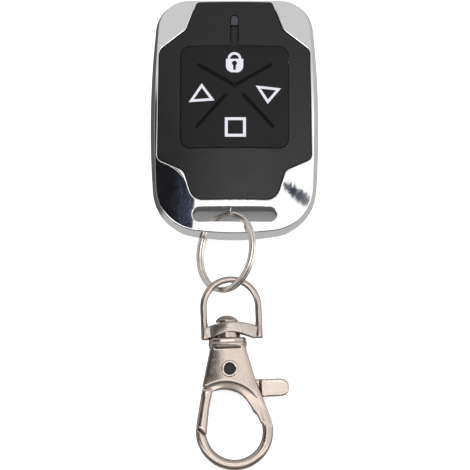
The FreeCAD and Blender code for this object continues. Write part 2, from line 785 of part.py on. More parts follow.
def back_cover():
    """The flat black back: a stepped plate, a rim inside the frame, screw bosses and the battery's cradle."""
    end = S.cavity_end + S.tongue_wall
    plate = bay("cover_plate", foot_inset + S.cover_step, end - S.cover_end_gap, S.cavity_corner_radius,
                "0", "frame_base")
    plate = round_edges("cover_edge", plate, S.cover_edge_chamfer, lambda e: e.BoundBox.ZMax < NEAR,
                        chamfer=True)
    inset = cavity_inset + S.cover_clearance
    stop = S.cavity_end - S.cover_clearance
    corner = S.cavity_corner_radius - S.cover_clearance
    floor = bay("cover_floor", inset, stop, corner, "frame_base", "cover_thickness + cover_rim_height")
    hollow = bay("cover_hollow", inset + S.cover_rim, stop - S.cover_rim, corner - S.cover_rim,
                 "cover_thickness", ABOVE)
    tray = cut("cover_tray", join("cover_block", [plate, floor]), hollow)
    bosses = [rod(f"boss_{place}", "boss_radius", "cover_thickness / 2", "board_base", x, y)
              for place, (x, y) in SCREWS.items()]
    whole = join("cover_with_bosses", [tray] + bosses)
    cradle = rod("battery_cradle", "battery_radius + battery_clearance",
                 "-body_width / 2", "body_width / 2", "battery_y", "battery_height", along="X")
    cradle = common("cradle_limits", [cradle, block("cradle_span", ("-body_width", "body_width"),
                    ("-cavity_end", "0"), ("0", "battery_height"))])
    half = "(contact_width / 2 + battery_clearance)"
    contact_room = block("contact_room", ("-body_width", "body_width"),
                         (f"battery_y - {half}", f"battery_y + {half}"),
                         (f"battery_height - {half}", "battery_height"))
    ways = []
    for place, (x, y) in SCREWS.items():
        ways.append(rod(f"way_{place}", "screw_radius + screw_way", "-1", ABOVE, x, y))
        ways.append(rod(f"head_way_{place}", "screw_head_radius + screw_way", "-1",
                        "screw_head_sink + screw_head_height", x, y))
    return keep("back_cover", cut("cover_cut", whole, cradle, contact_room, join("screw_ways", ways)))


def case_screws():
    """Four pan-head screws from the back, through bosses and board into the shell's posts."""
    screws = []
    for place, (x, y) in SCREWS.items():
        base = "screw_head_sink"
        head = rod(f"head_{place}", "screw_head_radius", base, f"{base} + screw_head_height", x, y)
        shank = rod(f"shank_{place}", "screw_radius", f"{base} + screw_head_height / 2",
                    SCREW_END, x, y)
        screw = join(f"screw_{place}", [head, shank])
        slots = [block(f"drive_{n}_{place}", (f"{x} - {a}", f"{x} + {a}"), (f"{y} - {b}", f"{y} + {b}"),
                       (f"{base} - 1", f"{base} + screw_head_height / 2"))
                 for n, (a, b) in enumerate((("screw_radius", "screw_radius / 5"), ("screw_radius / 5", "screw_radius")))]
        screws.append(cut(f"screw_cut_{place}", screw, join(f"drive_{place}", slots)))
    group = doc.addObject("Part::Compound", "screws")
    group.Links = screws
    return keep("case_screws", group)


def battery():
    """A small twelve-volt cylinder cell across the keyring end, with its raised tip."""
    reach = bay_half_width(S.battery_y - S.contact_width / 2) - S.contact_gap
    low = S.contact_thickness + S.battery_spring_room - reach
    high = reach - S.contact_thickness - S.battery_bump
    can = lying_rod("battery_can", S.battery_radius, low, high - S.battery_tip)
    tip = lying_rod("battery_end", S.battery_tip_radius, high - S.battery_tip * 2, high)
    keep("battery", join("battery_joined", [can, tip]))
    half = "contact_width / 2"
    plates = {}
    for name, inner in (("battery_plate", reach - S.contact_thickness), ("spring_plate", -reach)):
        plate = doc.addObject("Part::Box", name)
        plate.Placement.Base = Vector(inner, 0, 0)
        bind(plate, {"Length": "contact_thickness", "Width": "contact_width", "Height": "contact_width",
                     "Placement.Base.y": f"battery_y - {half}", "Placement.Base.z": f"battery_height - {half}"})
        plates[name] = plate
    bump = lying_rod("plate_bump", S.battery_tip_radius, high, reach - S.contact_thickness)
    keep("battery_plate", join("plate_with_bump", [plates["battery_plate"], bump]))
    sunk = S.battery_spring_wire / 4
    start = S.contact_thickness - reach + S.battery_spring_wire / 2 - sunk
    length = low - start - S.battery_spring_wire / 2
    coil = winding("battery_coil", S.battery_spring_radius, length, S.battery_spring_turns,
                   S.battery_spring_wire)
    coil.Placement = Placement(Vector(start, S.battery_y, S.battery_height), Rotation(Vector(0, 1, 0), 90))
    keep("battery_spring", join("spring_with_plate", [plates["spring_plate"], coil]))


def lying_rod(name, radius, low, high):
    """A cylinder along X on the battery's axis, between two places."""
    cylinder = doc.addObject("Part::Cylinder", name)
    cylinder.Radius = radius
    cylinder.Height = high - low
    cylinder.Placement = Placement(Vector(low, 0, 0), Rotation(Vector(0, 1, 0), 90))
    bind(cylinder, {"Placement.Base.y": "battery_y", "Placement.Base.z": "battery_height"})
    return cylinder


def bend(start, corner, end):
    """The arc that is tangent to both sides of an even-sided corner."""
    middle = (start + end) / 2
    outward = corner - middle
    half = (end - start).Length / 2
    turn = math.atan2(outward.Length, half)
    return Part.Arc(start, middle + outward.normalize() * half * math.tan(turn / 2), end).toShape()


def winding(name, radius, length, turns, wire):
    """A round wire wound on a helix: one unbroken tube along pairs of arcs, two to each quarter turn."""
    pitch = length / turns
    slope = pitch / (2 * math.pi * radius)
    quarters = int(turns) * 4

    def place(n):
        angle = math.pi / 2 * n
        flat = Vector(math.cos(angle), math.sin(angle), 0)
        along = Vector(-math.sin(angle), math.cos(angle), slope).normalize()
        return flat * radius + Vector(0, 0, pitch * n / 4), along

    edges = []
    for n in range(quarters):
        (start, leave), (end, arrive) = place(n), place(n + 1)
        span = end - start
        both = leave + arrive
        a, b, c = 2 * (leave.dot(arrive) - 1), -2 * span.dot(both), span.dot(span)
        reach = (-b - math.sqrt(b * b - 4 * a * c)) / (2 * a)
        first, second = start + leave * reach, end - arrive * reach
        joint = (first + second) / 2
        edges += [bend(start, first, joint), bend(joint, second, end)]
    section = Part.Wire(Part.makeCircle(wire / 2, place(0)[0], place(0)[1]))
    coil = doc.addObject("Part::Feature", name)
    coil.Shape = Part.Wire(edges).makePipeShell([section], True, False)
    print(f"{name}: least gap between turns {pitch - wire:.2f}")
    return coil


def electronics():
    """What stands on the board: chip, resonator, capacitors, lamp and the wound aerial."""
    body = block("chip_body", ("-chip_width / 2", "chip_width / 2"),
                 ("chip_y - chip_length / 2", "chip_y + chip_length / 2"),
                 (BOARD_FACE, f"{BOARD_FACE} + chip_height"))
    reach = "chip_width / 2 + chip_leg"
    legs = []
    for n in range(4):
        y = f"chip_y + {n - 1.5} * chip_leg_pitch"
        legs.append(block(f"leg_{n}", (f"-({reach})", reach),
                          (f"{y} - chip_leg_width / 2", f"{y} + chip_leg_width / 2"),
                          (BOARD_FACE, f"{BOARD_FACE} + chip_height / 3")))
    keep("encoder_chip", join("chip_with_legs", [body] + legs))
    spot = ("body_width / 2 - resonator_inset", "resonator_y")
    can = rod("resonator_can", "resonator_radius", BOARD_FACE, f"{BOARD_FACE} + resonator_height", *spot)
    flange = rod("resonator_base", "resonator_radius + resonator_flange", BOARD_FACE,
                 f"{BOARD_FACE} + resonator_flange", *spot)
    keep("rf_resonator", join("resonator", [can, flange]))
    spots = {}
    for side, sign in (("left", "-"), ("right", "")):
        spots[f"lower_{side}"] = (f"{sign}capacitor_x", "capacitor_y")
        spots[f"upper_{side}"] = (f"{sign}capacitor_x", "capacitor_y + capacitor_step")
        spots[f"edge_{side}"] = (f"{sign}(body_width / 2 - edge_capacitor_inset)", "edge_capacitor_y")
    pieces = []
    for place, (x, y) in spots.items():
        pieces.append(block(f"capacitor_{place}",
                            (f"{x} - capacitor_length / 2", f"{x} + capacitor_length / 2"),
                            (y, f"{y} + capacitor_width"), (BOARD_FACE, f"{BOARD_FACE} + capacitor_width")))
    group = doc.addObject("Part::Compound", "capacitors")
    group.Links = pieces
    keep("chip_capacitors", group)
    lamp_y = "body_length / 2 - lamp_groove_end - lens_length / 2"
    keep("indicator_led", block("lamp", ("-lamp_side / 2", "lamp_side / 2"),
                                (f"{lamp_y} - lamp_side / 2", f"{lamp_y} + lamp_side / 2"),
                                (BOARD_FACE, f"{BOARD_FACE} + lamp_height")))
    coil = winding("aerial", S.aerial_radius, S.aerial_pitch * S.aerial_turns, S.aerial_turns,
                   S.aerial_wire)
    height = S.board_base - S.aerial_radius - S.aerial_wire / 2
    coil.Placement = Placement(Vector(S.aerial_x, S.aerial_y, height), Rotation(Vector(0, 1, 0), 90))
    keep("antenna_coil", coil)


# Chain: split ring, swivel bail and clasp

ring_y = slot_middle() - (S.slot_width + S.slot_bar) / 2 - S.ring_drop
RING_PLACE = Placement(Vector(S.ring_x, ring_y, S.tongue_underside + S.ring_rise),
                       Rotation(Vector(0, 1, 0), -S.ring_tilt))
clasp_height = (S.loop_thickness / 2 * math.cos(math.radians(S.clasp_pitch))
                + S.clasp_length * math.sin(math.radians(S.clasp_pitch)) + S.table_gap)
CLASP_PLACE = Placement(Vector(S.clasp_x, ring_y - S.clasp_drop, clasp_height),
                        Rotation(Vector(0, 0, 1), S.clasp_lean) * Rotation(Vector(1, 0, 0), S.clasp_pitch))


def split_ring():
    """Flat wire in two turns, side by side, that cross over in one short jog."""
    middle = S.ring_radius - S.ring_radial / 2
    layer = (S.ring_turn + S.ring_turn_gap) / 2
    jog = S.ring_jog_angle
    steps = 6

    def section(angle, height):
        half, tall = S.ring_radial / 2, S.ring_turn / 2
        outward = Vector(math.cos(math.radians(angle)), math.sin(math.radians(angle)), 0)
        up = Vector(0, 0, 1)
        base = outward * middle + up * height
        corners = [base + outward * a + up * b for a,
                   b in ((half, -tall), (half, tall), (-half, tall), (-half, -tall))]
        return Part.makePolygon(corners + corners[:1])

    start = S.ring_jog_place
    crossing = []
    for n in range(steps + 1):
        part = n / steps
        smooth = part * part * (3 - 2 * part)
        crossing.append(section(start + jog * (part - 0.5), layer * (2 * smooth - 1)))
    turn = 360 - jog - S.ring_end_gap
    lower = Part.Face(section(start - jog / 2, -layer)).revolve(Vector(), Vector(0, 0, 1), -turn)
    upper = Part.Face(section(start + jog / 2, layer)).revolve(Vector(), Vector(0, 0, 1), turn)
    ring = doc.addObject("Part::Feature", "ring_wire")
    ring.Shape = lower.fuse([Part.makeLoft(crossing, True), upper]).removeSplitter()
    ring.Placement = RING_PLACE
    print(f"split_ring: gap between turns {S.ring_turn_gap:.2f}")
    return keep("split_ring", ring)


def flat_sketch(body, name, edges, plane="XY_Plane"):
    sketch = body.newObject("Sketcher::SketchObject", name)
    origin = next(o for o in body.Origin.OriginFeatures if o.Role == plane)
    sketch.AttachmentSupport = [(origin, "")]
    sketch.MapMode = "FlatFace"
    sketch.addGeometry(edges, False)
    return sketch


def add_pad(body, name, edges, thickness, plane="XY_Plane"):
    pad = body.newObject("PartDesign::Pad", name)
    pad.Profile = flat_sketch(body, name + "_sketch", edges, plane)
    pad.Midplane = True
    bind(pad, {"Length": thickness})
    return pad


def add_pocket(body, name, edges, depth, plane="XY_Plane"):
    pocket = body.newObject("PartDesign::Pocket", name)
    pocket.Profile = flat_sketch(body, name + "_sketch", edges, plane)
    pocket.Midplane = True
    bind(pocket, {"Length": depth})
    return pocket


def add_turned(body, name, edges, axis="V_Axis", plane="XY_Plane", groove=False):
    kind = "PartDesign::Groove" if groove else "PartDesign::Revolution"
    turned = body.newObject(kind, name)
    sketch = flat_sketch(body, name + "_sketch", edges, plane)
    turned.Profile = sketch
    turned.ReferenceAxis = (sketch, [axis])
    turned.Angle = 360
    return turned


def sides(points):
    """Straight sides round a closed list of points."""
    return [line(points[n - 1], points[n]) for n in range(len(points))]


def circle(x, y, radius):
    return [Part.Circle(Vector(x, y, 0), Vector(0, 0, 1), radius)]


def new_body(name, place):
    body = doc.addObject("PartDesign::Body", name + "_body")
    body.Placement = place
    return body


def bail_top():
    """Height of the bail's boss above the collar's end."""
    return S.bail_foot + S.bail_band + S.bail_boss_rise


def swivel_bail():
    """The D-shaped eye: a round-wire arch on a bowed band with the swivel's boss."""
    body = new_body("swivel_bail", CLASP_PLACE)
    shift = S.bail_shift
    half = (S.bail_width - S.bail_wire) / 2
    spring = S.bail_height - S.bail_wire / 2 - half
    root = S.bail_foot + S.bail_band / 4
    path = flat_sketch(body, "arch_path", [
        line((shift + half, root), (shift + half, spring)), arc((shift, spring), half, 0, 180),
        line((shift - half, spring), (shift - half, root)),
    ])
    section = flat_sketch(body, "wire_section", circle(shift + half, 0, S.bail_wire / 2), "XZ_Plane")
    section.AttachmentOffset = Placement(Vector(0, 0, -root), Rotation())
    arch = body.newObject("PartDesign::AdditivePipe", "arch")
    arch.Profile = section
    arch.Spine = path
    centre = (shift, S.bail_foot - S.bail_band_bow)
    rim = S.bail_width / 2
    ends = {radius: centre[1] + math.sqrt(radius ** 2 - rim ** 2)
            for radius in (S.bail_band_bow, S.bail_band_bow + S.bail_band)}
    (lower, low), (upper, high) = ends.items()
    band = [line((shift + s * rim, low), (shift + s * rim, high)) for s in (1, -1)]
    for radius, y in ends.items():
        turn = heading(centre, (shift + rim, y))
        band.append(arc(centre, radius, turn, 180 - turn))
    add_pad(body, "band", band, "bail_band_depth")
    top = bail_top()
    add_turned(body, "boss", sides([(0, S.bail_foot), (S.bail_boss_radius, S.bail_foot), (S.bail_boss_radius, top),
                                    (0, top)]))
    bore = S.swivel_radius + S.swivel_clearance
    add_turned(body, "swivel_bore", sides([(0, -S.bail_band), (bore, -S.bail_band), (bore, top + 1), (0, top + 1)]),
               groove=True)
    return keep("swivel_bail", body)


def swivel_rivet():
    """The domed rivet that the bail turns on, riveted into the clasp's collar."""
    body = new_body("swivel_rivet", CLASP_PLACE)
    seat = bail_top() + S.swivel_head_gap
    top = seat + S.swivel_head_height
    head = S.swivel_head_radius
    rim = seat + S.swivel_head_rim
    rise = top - rim
    bulge = (head ** 2 + rise ** 2) / (2 * rise)
    edges = [arc((0, top - bulge), bulge, math.degrees(math.acos(head / bulge)), 90)]
    tip = -S.swivel_depth
    points = [(0, top), (0, tip), (S.swivel_radius, tip), (S.swivel_radius, seat), (head, seat),
              (head, rim)]
    edges += [line(points[n], points[n + 1]) for n in range(len(points) - 1)]
    add_turned(body, "rivet", edges)
    return keep("swivel_rivet", body)


def loop_frame():
    """Centre and radii of the clasp's loop."""
    centre = (S.loop_shift, S.loop_outer_radius - S.clasp_length)
    return centre, S.loop_outer_radius, S.loop_outer_radius - S.loop_section


def loop_tangent():
    """Where the right cheek's edge runs into the loop's outer circle, as an angle."""
    centre, outer, _ = loop_frame()
    start = (S.cheek_bend_x, -S.cheek_bend_y)
    return heading(centre, start) - math.degrees(math.acos(outer / math.dist(start, centre)))


def rounded_pad(body, name, edges, thickness, radius):
    """A pad in the middle plane whose edges on both faces are rounded."""
    add_pad(body, name, edges, thickness)
    doc.recompute()
    base = body.Tip
    level = getattr(S, thickness) / 2
    near = []
    for n, edge in enumerate(base.Shape.Edges, start=1):
        box = edge.BoundBox
        if box.ZLength < NEAR and abs(abs(box.ZMax) - level) < NEAR:
            near.append(f"Edge{n}")
    fillet = body.newObject("PartDesign::Fillet", name + "_rounded")
    fillet.Base = (base, near)
    bind(fillet, {"Radius": radius})
    doc.recompute()


def hook_body():
    """The cast clasp: collar, two cheeks with the gate's channel between them, and the loop."""
    body = new_body("hook_body", CLASP_PLACE)
    centre, outer, inner = loop_frame()
    turn = math.degrees(S.gate_nose_gap / outer)
    nose_outer = S.nose_outer_angle + turn
    nose_inner = S.nose_inner_angle + turn
    bend_point = (S.cheek_bend_x, -S.cheek_bend_y)
    tangent = polar(centre, outer, loop_tangent())
    eye = (-S.eye_arch_x, -S.eye_arch_y)
    left = S.throat_left
    eye_start = math.degrees(math.acos((left - eye[0]) / S.eye_arch_radius))
    eye_top = polar(eye, S.eye_arch_radius, eye_start)
    inner_top = polar(centre, inner, S.eye_loop_start)
    loop = [
        line(tangent, bend_point),
        line(bend_point, (left, -S.cheek_bend_y)),
        line((left, -S.cheek_bend_y), eye_top),
        arc(eye, S.eye_arch_radius, S.eye_arch_end, eye_start),
        line(polar(eye, S.eye_arch_radius, S.eye_arch_end), inner_top),
        arc(centre, inner, nose_inner - 360, S.eye_loop_start),
        line(polar(centre, inner, nose_inner), polar(centre, outer, nose_outer)),
        arc(centre, outer, nose_outer - 360, loop_tangent()),
    ]
    rounded_pad(body, "loop", loop, "loop_thickness", "cast_rounding")
    arch_centre = (-S.cheek_arch_x, -S.cheek_arch_y)
    top = [(-S.cheek_top_half, -S.cheek_top), (S.cheek_top_half, -S.cheek_top)]
    foot = (-S.cheek_foot_x, -S.cheek_foot_y)
    arch_left = polar(arch_centre, S.cheek_arch_radius, S.cheek_arch_start)
    arch_right = polar(arch_centre, S.cheek_arch_radius, -S.cheek_arch_end)
    cheek_tip = polar(centre, outer, S.cheek_arch_end)
    cheeks = [
        line(top[1], top[0]), line(top[0], foot), line(foot, arch_left),
        arc(arch_centre, S.cheek_arch_radius, -S.cheek_arch_end, S.cheek_arch_start),
        line(arch_right, cheek_tip), arc(centre, outer, S.cheek_arch_end, loop_tangent()),
        line(tangent, bend_point), line(bend_point, top[1]),
    ]
    rounded_pad(body, "cheeks", cheeks, "cheek_thickness", "cheek_rounding")
    add_collar(body, "collar", 0, S.collar_drop, "collar_height")
    add_collar(body, "collar_ridge", S.collar_ridge, S.collar_ridge_drop, "collar_ridge_height")
    doc.recompute()
    wide = S.tab_reach
    fall = math.tan(math.radians(S.channel_slope)) * wide
    channel = [(-wide, -S.channel_top), (-wide, -S.channel_foot), (0, -S.channel_foot),
               (wide, -S.channel_foot - fall),
               (wide, -S.channel_top)]
    add_pocket(body, "channel", sides(channel), "channel_width")
    add_pocket(body, "rivet_hole", circle(S.gate_pivot_x, S.gate_pivot_y, S.gate_rivet_radius + S.gate_rivet_fit),
               "cheek_thickness * 2")
    bore = S.swivel_radius + S.gate_rivet_fit
    tip = -S.swivel_depth - S.gate_rivet_fit
    add_turned(body, "swivel_socket", sides([(0, 1), (bore, 1), (bore, tip), (0, tip)]), groove=True)
    return keep("hook_body", body)


def add_collar(body, name, grow, drop, height):
    """A round-cornered block across the swivel's axis, from a drop below the collar's end."""
    wide, deep = S.collar_width / 2 + grow, S.collar_depth / 2 + grow
    radius = deep - S.collar_rounding
    collar = body.newObject("PartDesign::Pad", name)
    sketch = flat_sketch(body, name + "_sketch", rounded([
        (wide, deep, radius), (-wide, deep, radius), (-wide, -deep, radius), (wide, -deep,
                                                                              radius)]), "XZ_Plane")
    sketch.AttachmentOffset = Placement(Vector(0, 0, drop), Rotation())
    collar.Profile = sketch
    bind(collar, {"Length": height})


def gate_lever():
    """The sprung gate: a flat hub between the cheeks, the gate arm on the left and the thumb tab on the right."""
    body = new_body("gate_lever", CLASP_PLACE)
    pivot = (S.gate_pivot_x, S.gate_pivot_y)
    centre, outer, inner = loop_frame()
    arm = [(-S.cheek_foot_x, -S.arm_top), polar(centre, outer, S.nose_outer_angle),
           polar(centre, inner, S.nose_inner_angle), (-S.arm_inner_bend_x, -S.arm_inner_bend_y),
           (-S.arm_inner_top, -S.arm_top)]
    rounded_pad(body, "arm", sides(arm), "loop_thickness", "cast_rounding")
    eye = (-S.eye_arch_x, -S.eye_arch_y)
    under = S.eye_arch_radius + S.web_gap
    web_y = -S.tab_middle - S.tab_width / 2
    web_turn = math.degrees(math.asin((web_y - eye[1]) / under))
    left_turn = 180 - math.degrees(math.asin((-S.arm_top - S.web_gap - eye[1]) / under))
    web_low, web_left = polar(eye, under, web_turn), polar(eye, under, left_turn)
    web_top = -S.tab_middle + S.tab_width / 2
    web = [(S.web_right, web_y), (S.web_right, web_top), (S.web_shoulder, web_top),
           (pivot[0] + S.gate_hub_radius * 0.8, pivot[1] + S.gate_hub_radius * 0.4),
           (pivot[0] - S.gate_hub_radius, pivot[1]), (-S.web_left_x, -S.web_left_y), (-S.web_left_x,
                                                                                      -S.arm_top - S.web_overlap),
           web_left]
    edges = [line(web[n], web[n + 1]) for n in range(len(web) - 1)]
    edges += [arc(eye, under, web_turn, left_turn), line(web_low, web[0])]
    add_pad(body, "web", edges, "gate_hub_thickness")
    add_pad(body, "hub", circle(*pivot, S.gate_hub_radius), "gate_hub_thickness")
    half = S.tab_width / 2
    end = S.tab_reach - half
    tab = [
        line((S.tab_root, web_top), (S.tab_root, web_y)),
        line((S.tab_root, web_y), (end, web_y)),
        arc((end, -S.tab_middle), half, -90, 90),
        line((end, web_top), (S.tab_root, web_top)),
    ]
    add_pad(body, "tab", tab, "tab_thickness")
    add_pocket(body, "pivot_bore", circle(*pivot, S.gate_rivet_radius + S.gate_running_gap),
               "cheek_thickness")
    room = body.newObject("PartDesign::Pocket", "spring_room")
    sketch = flat_sketch(body, "spring_room_sketch",
                         circle(*pivot, S.gate_spring_radius + S.gate_spring_wire))
    sketch.AttachmentOffset = Placement(Vector(0, 0, S.gate_hub_thickness / 2), Rotation())
    room.Profile = sketch
    room.Length = S.gate_spring_wire * (S.gate_spring_turns + 1)
    return keep("gate_lever", body)


def gate_rivet():
    """The hollow rivet that the gate turns on, rolled over on both cheeks."""
    place = CLASP_PLACE * Placement(Vector(S.gate_pivot_x, S.gate_pivot_y, 0), Rotation())
    body = new_body("gate_rivet", place)
    half = S.cheek_thickness / 2
    top = half + S.gate_rivet_rim_height
    rim = S.gate_rivet_radius + S.gate_rivet_rim
    profile = [(S.gate_rivet_bore, -top), (rim, -top), (rim, -half), (S.gate_rivet_radius, -half),
               (S.gate_rivet_radius, half), (rim, half), (rim, top), (S.gate_rivet_bore, top)]
    add_turned(body, "tube", sides(profile), plane="XZ_Plane")
    return keep("gate_rivet", body)


def gate_spring():
    """The small torsion spring round the rivet, in the hub's recess."""
    length = (S.gate_spring_wire + S.gate_spring_pitch_gap) * S.gate_spring_turns
    coil = winding("gate_coil", S.gate_spring_radius, length, S.gate_spring_turns, S.gate_spring_wire)
    base = S.gate_hub_thickness / 2 - S.gate_spring_wire * (S.gate_spring_turns
                                                            + 1) + S.gate_spring_wire / 2 + S.gate_spring_gap
    coil.Placement = CLASP_PLACE * Placement(Vector(S.gate_pivot_x, S.gate_pivot_y, base), Rotation())
    return keep("gate_spring", coil)


chrome_frame()
front_shell()
led_lens()
grooves = groove_arms()
for key_name in KEYS:
    key(key_name, grooves)
keypad_membrane()
switches()
circuit_board()
back_cover()
case_screws()
battery()
electronics()
split_ring()
swivel_bail()
swivel_rivet()
hook_body()
gate_lever()
gate_rivet()
gate_spring()
doc.recompute()

faults = [f"{thing.Name}: {thing.State}" for thing in doc.Objects
          if {"Invalid", "Error"} & set(thing.State)]
for node_name, thing in nodes.items():
    if thing.Shape.isNull() or not thing.Shape.isValid():
        faults.append(f"{node_name}: no valid shape")
if faults:
    raise SystemExit("\n".join(faults))

os.makedirs("parts", exist_ok=True)
for node_name, thing in nodes.items():
    thing.Shape.exportStep(f"parts/{node_name}.step")
    box = thing.Shape.BoundBox
    print(f"{node_name}: {len(thing.Shape.Solids)} solids, volume {thing.Shape.Volume:.1f}, "
          f"x {box.XMin:.1f} {box.XMax:.1f} y {box.YMin:.1f} {box.YMax:.1f} z {box.ZMin:.2f} {box.ZMax:.2f}")
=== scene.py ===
"""Cloning remote control on its split ring and swivel clasp, lying face up on a pale table.

Metres, in the part's own frame: the fob's flat back is at the origin, +Y points to the lamp end
and +Z out of the keys.
"""

import json
import math
from contextlib import contextmanager

import bmesh
import bpy
from mathutils import Matrix, Vector


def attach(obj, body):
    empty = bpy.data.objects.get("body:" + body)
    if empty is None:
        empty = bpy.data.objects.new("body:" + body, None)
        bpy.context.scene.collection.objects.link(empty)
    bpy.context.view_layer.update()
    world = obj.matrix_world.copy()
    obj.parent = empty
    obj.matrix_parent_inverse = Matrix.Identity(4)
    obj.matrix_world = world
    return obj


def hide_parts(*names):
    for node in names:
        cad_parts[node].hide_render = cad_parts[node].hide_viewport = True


MM = 0.001

# The photograph's view: straight down, leaning a little to the clasp end
FRAME_PIXELS = 470
PIXELS_PER_MM = 4.19
CAMERA_TILT = 12.0
CAMERA_DISTANCE = 1200 * MM
SENSOR_WIDTH = 36
FOB_CENTRE_PIXEL = (234.5, 120.0)
FOB_CENTRE_HEIGHT = 5 * MM

# The table of white paper glows a little, apart from the shaded patch that the fob covers
TABLE_REACH = 3.0
TABLE_DROP = 0.0001
TABLE_GLOW = 0.3
SHADED_HALF_WIDTH = (11.5, 14.5)
SHADED_HALF_LENGTH = (25.5, 28.0)

# The slanting edge of the dark stand that the chrome mirrors on its left
STAND_EDGE = 0.2252
STAND_SLANT = -0.17

# Painted shade for crevices: a brown darkening, as shares of a metal's red, green and blue
CREVICE_SHADE_TINT = (0.20, 0.15, 0.12)

# The fob's face, in millimetres: an arc across, swept along a longer arc
FACE_HEIGHT = 12.4
DOME_ACROSS = 85.0
DOME_ALONG = 150.0
FRAME_DROP = 0.15
BODY_HALF_WIDTH = 20.2
SKIRT_ROOT_RADIUS = 2.2
LIP_SINKS_FROM = 26.3
LIP_SINKS_OVER = 1.2
LIP_SINKS_BY = 0.6
LAMP_HALF = 0.93
LAMP_END = 23.75
LAMP_GROOVE_START = 17.9
LAMP_GROOVE_STEP = 0.4
LAMP_GROOVE_PARTS = 15
GAP_HALF = 0.09
GAP_RISE = 0.012
GAP_DEPTH = 0.3

# The key pad, and the cross of grooves between its keys
PAD_RAISE = 0.25
PAD_CORNERS = ((12.9, 16.9), (12.9, -8.3))
PAD_RADIUS = 2.4
RIM_WIDTH = 0.9
RIM_EDGE = 0.3
RIM_FOOT = 9.0
SEAM = 0.02
KEY_FOOT = 9.6
CROSS = 6.95
UPPER_SLOPE = 31.0
LOWER_SLOPE = 47.7
GROOVES = [(start, reach, angle)
           for start, reach, slope in ((0.0, 10.06, UPPER_SLOPE), (3.15, 13.4, -LOWER_SLOPE))
           for angle in (slope, 180 - slope)]
GROOVE_HALF_WIDTH = 0.55
GROOVE_DEPTH = 0.6
KEY_SEAMS = {
    "lock": (UPPER_SLOPE, 180 - UPPER_SLOPE),
    "up": (180 - UPPER_SLOPE, 180 + LOWER_SLOPE),
    "stop": (180 + LOWER_SLOPE, 360 - LOWER_SLOPE),
    "down": (-LOWER_SLOPE, UPPER_SLOPE),
}
GRID_STEP = 0.16
INK = 0.03
INK_STEP = 0.8
TRIANGLE_LINE = 0.62
SQUARE_LINE = 0.7

# The split ring: its wire's width and thickness, where the turns cross over, and its sprung end
RING_CENTRE = (-2.0, -32.61, 7.98)
RING_TILT = 48.0
RING_RADIUS = 10.0
RING_WIRE = (1.3, 0.72)
RING_CORNER = 0.28
RING_LAYER = 0.39
RING_CROSSING = (42.0, 78.0)
RING_TURN = 320.0
RING_GROUND = 9.0
RING_END_SHARE = 0.4
RING_TIP = 34.0
RING_TIP_SPRING = 0.9
RING_TIP_RISE = 0.3
RING_FLATTENED = 0.95
RING_STEPS = 480

# The clasp and its bail have a frame of their own, with its origin on the collar and +Y to the ring
CLASP_PLACE = (Matrix.Translation((-1.7, -52.561, 6.082))
               @ Matrix.Rotation(math.radians(2.3), 4, "Z") @ Matrix.Rotation(math.radians(8.0), 4, "X"))

# The bail: the arch of round wire, the band between its feet and the shoulder round the swivel
BAIL_SHIFT = 1.1
BAIL_HALF = 6.525
BAIL_FOOT = -1.0
BAIL_SPRING = 6.625
BAIL_WIRE = 0.8
BAIL_FLARE = 0.55
BAND_MIDDLE = 0.6
BAND_OVERHANG = 0.75
BAND_BULGES = (6.0, 11.0)
BAND_DEPTH = 3.1
BAND_FOOT_DEPTH = 1.1
BAND_LOW, BAND_ARCH, BAND_ARCH_SPAN = -0.72, 1.2, (0.95, 4.7)
BAND_ARCH_FULLNESS = 1.3
BAND_HIGH, BAND_CROWN, BAND_CROWN_SPAN = 1.85, 1.2, (0.9, 6.4)
BAND_FOOT_DROP = 0.3
BAND_TAPER = 0.35
BAND_SOFT = 0.42
BAND_STEPS = 90
SHOULDER_RADII = (1.56, 3.0)
SHOULDER_HEIGHTS = (-0.68, 1.6)

# The cast hook, with the lip of its arch, and the gate in its slot
COLLAR_FOOT = -2.3
ARCH_CENTRE, ARCH_RADIUS = (-1.2, -20.1), 8.85
EYE_CENTRE, EYE_RADIUS = (-1.7, -19.9), 7.1
LIP_FOOT = 0.97
LIP_HALVES = (2.0, 1.45)
LIP_REACH = 0.3
LIP_OUTER_ARC, LIP_OUTER_END = (118, 40, 18), [(7.4, -17.4), (8.0, -20.6)]
LIP_INNER_ARC, LIP_INNER_END = (112, 24, 18), [(6.2, -19.3), (7.1, -21.4)]
GATE_HALF = 0.85
GATE_REACH = (0.6, 0.1)
GATE_OUTER_ARC = (108, 66, 14)
GATE_INNER_ARC = (108, 62, 14)
CHEEK_BOW = 36.0
CHEEK_RIDGE = 2.4
LOOP_CENTRE, LOOP_MIDDLE = (0.8, -22.95), 7.85
LOOP_TOP = 1.55
LOOP_BOW = 3.5
ARM_TOP, ARM_SLOPE = (-5.2, -13.4), 0.206
ARM_WITHIN = 2.5
ARM_BOW = 3.0
SECTION_HALF = 1.2
TAB_ROOT_HALF = 1.36
TAB_ROOT_SWELL = 0.62
TAB_ROOT_ACROSS = (6.9, 8.6)
TAB_ROOT_ALONG = (-15.1, -10.7)
CAST_CELL = 0.12
CAST_SWELL = 0.06
CAST_RUBS = 40
HORN_INNER = 4.6
HORN_ALONG = (-26, -15)
HORN_RUBS = 24

# The hollow rivet that the gate turns on
GATE_PIVOT = (0.2, -8.1)
RIVET_FACE = 2.2
RIVET_SHANK = 1.5
RIVET_RIM = (1.66, 2.3)
RIVET_ROLL = 0.34
RIVET_BORE = (1.3, 1.32)
RIVET_FLOOR = 0.9
# Dark discs of painted shade on the floors of the hole: their gap to the bore and their lift off the floor
SHADE_DISC_GAP, SHADE_DISC_LIFT = 0.01, 0.05

# Where the chain's forms change, as how far down its length a change begins and over what length
BAIL_FLARES = (-3.4, 4.0)
CHEEKS_FLATTEN = (14.0, 6.0)
LEVEL_BEGINS = (12.5, 8.0)
LEVEL_ENDS = (23.5, 6.0)
LEVEL_SHARE = 0.92
LOOP_ROUNDS = (16.0, 5.0)
ARM_ROUNDS = (13.4, 2.0)

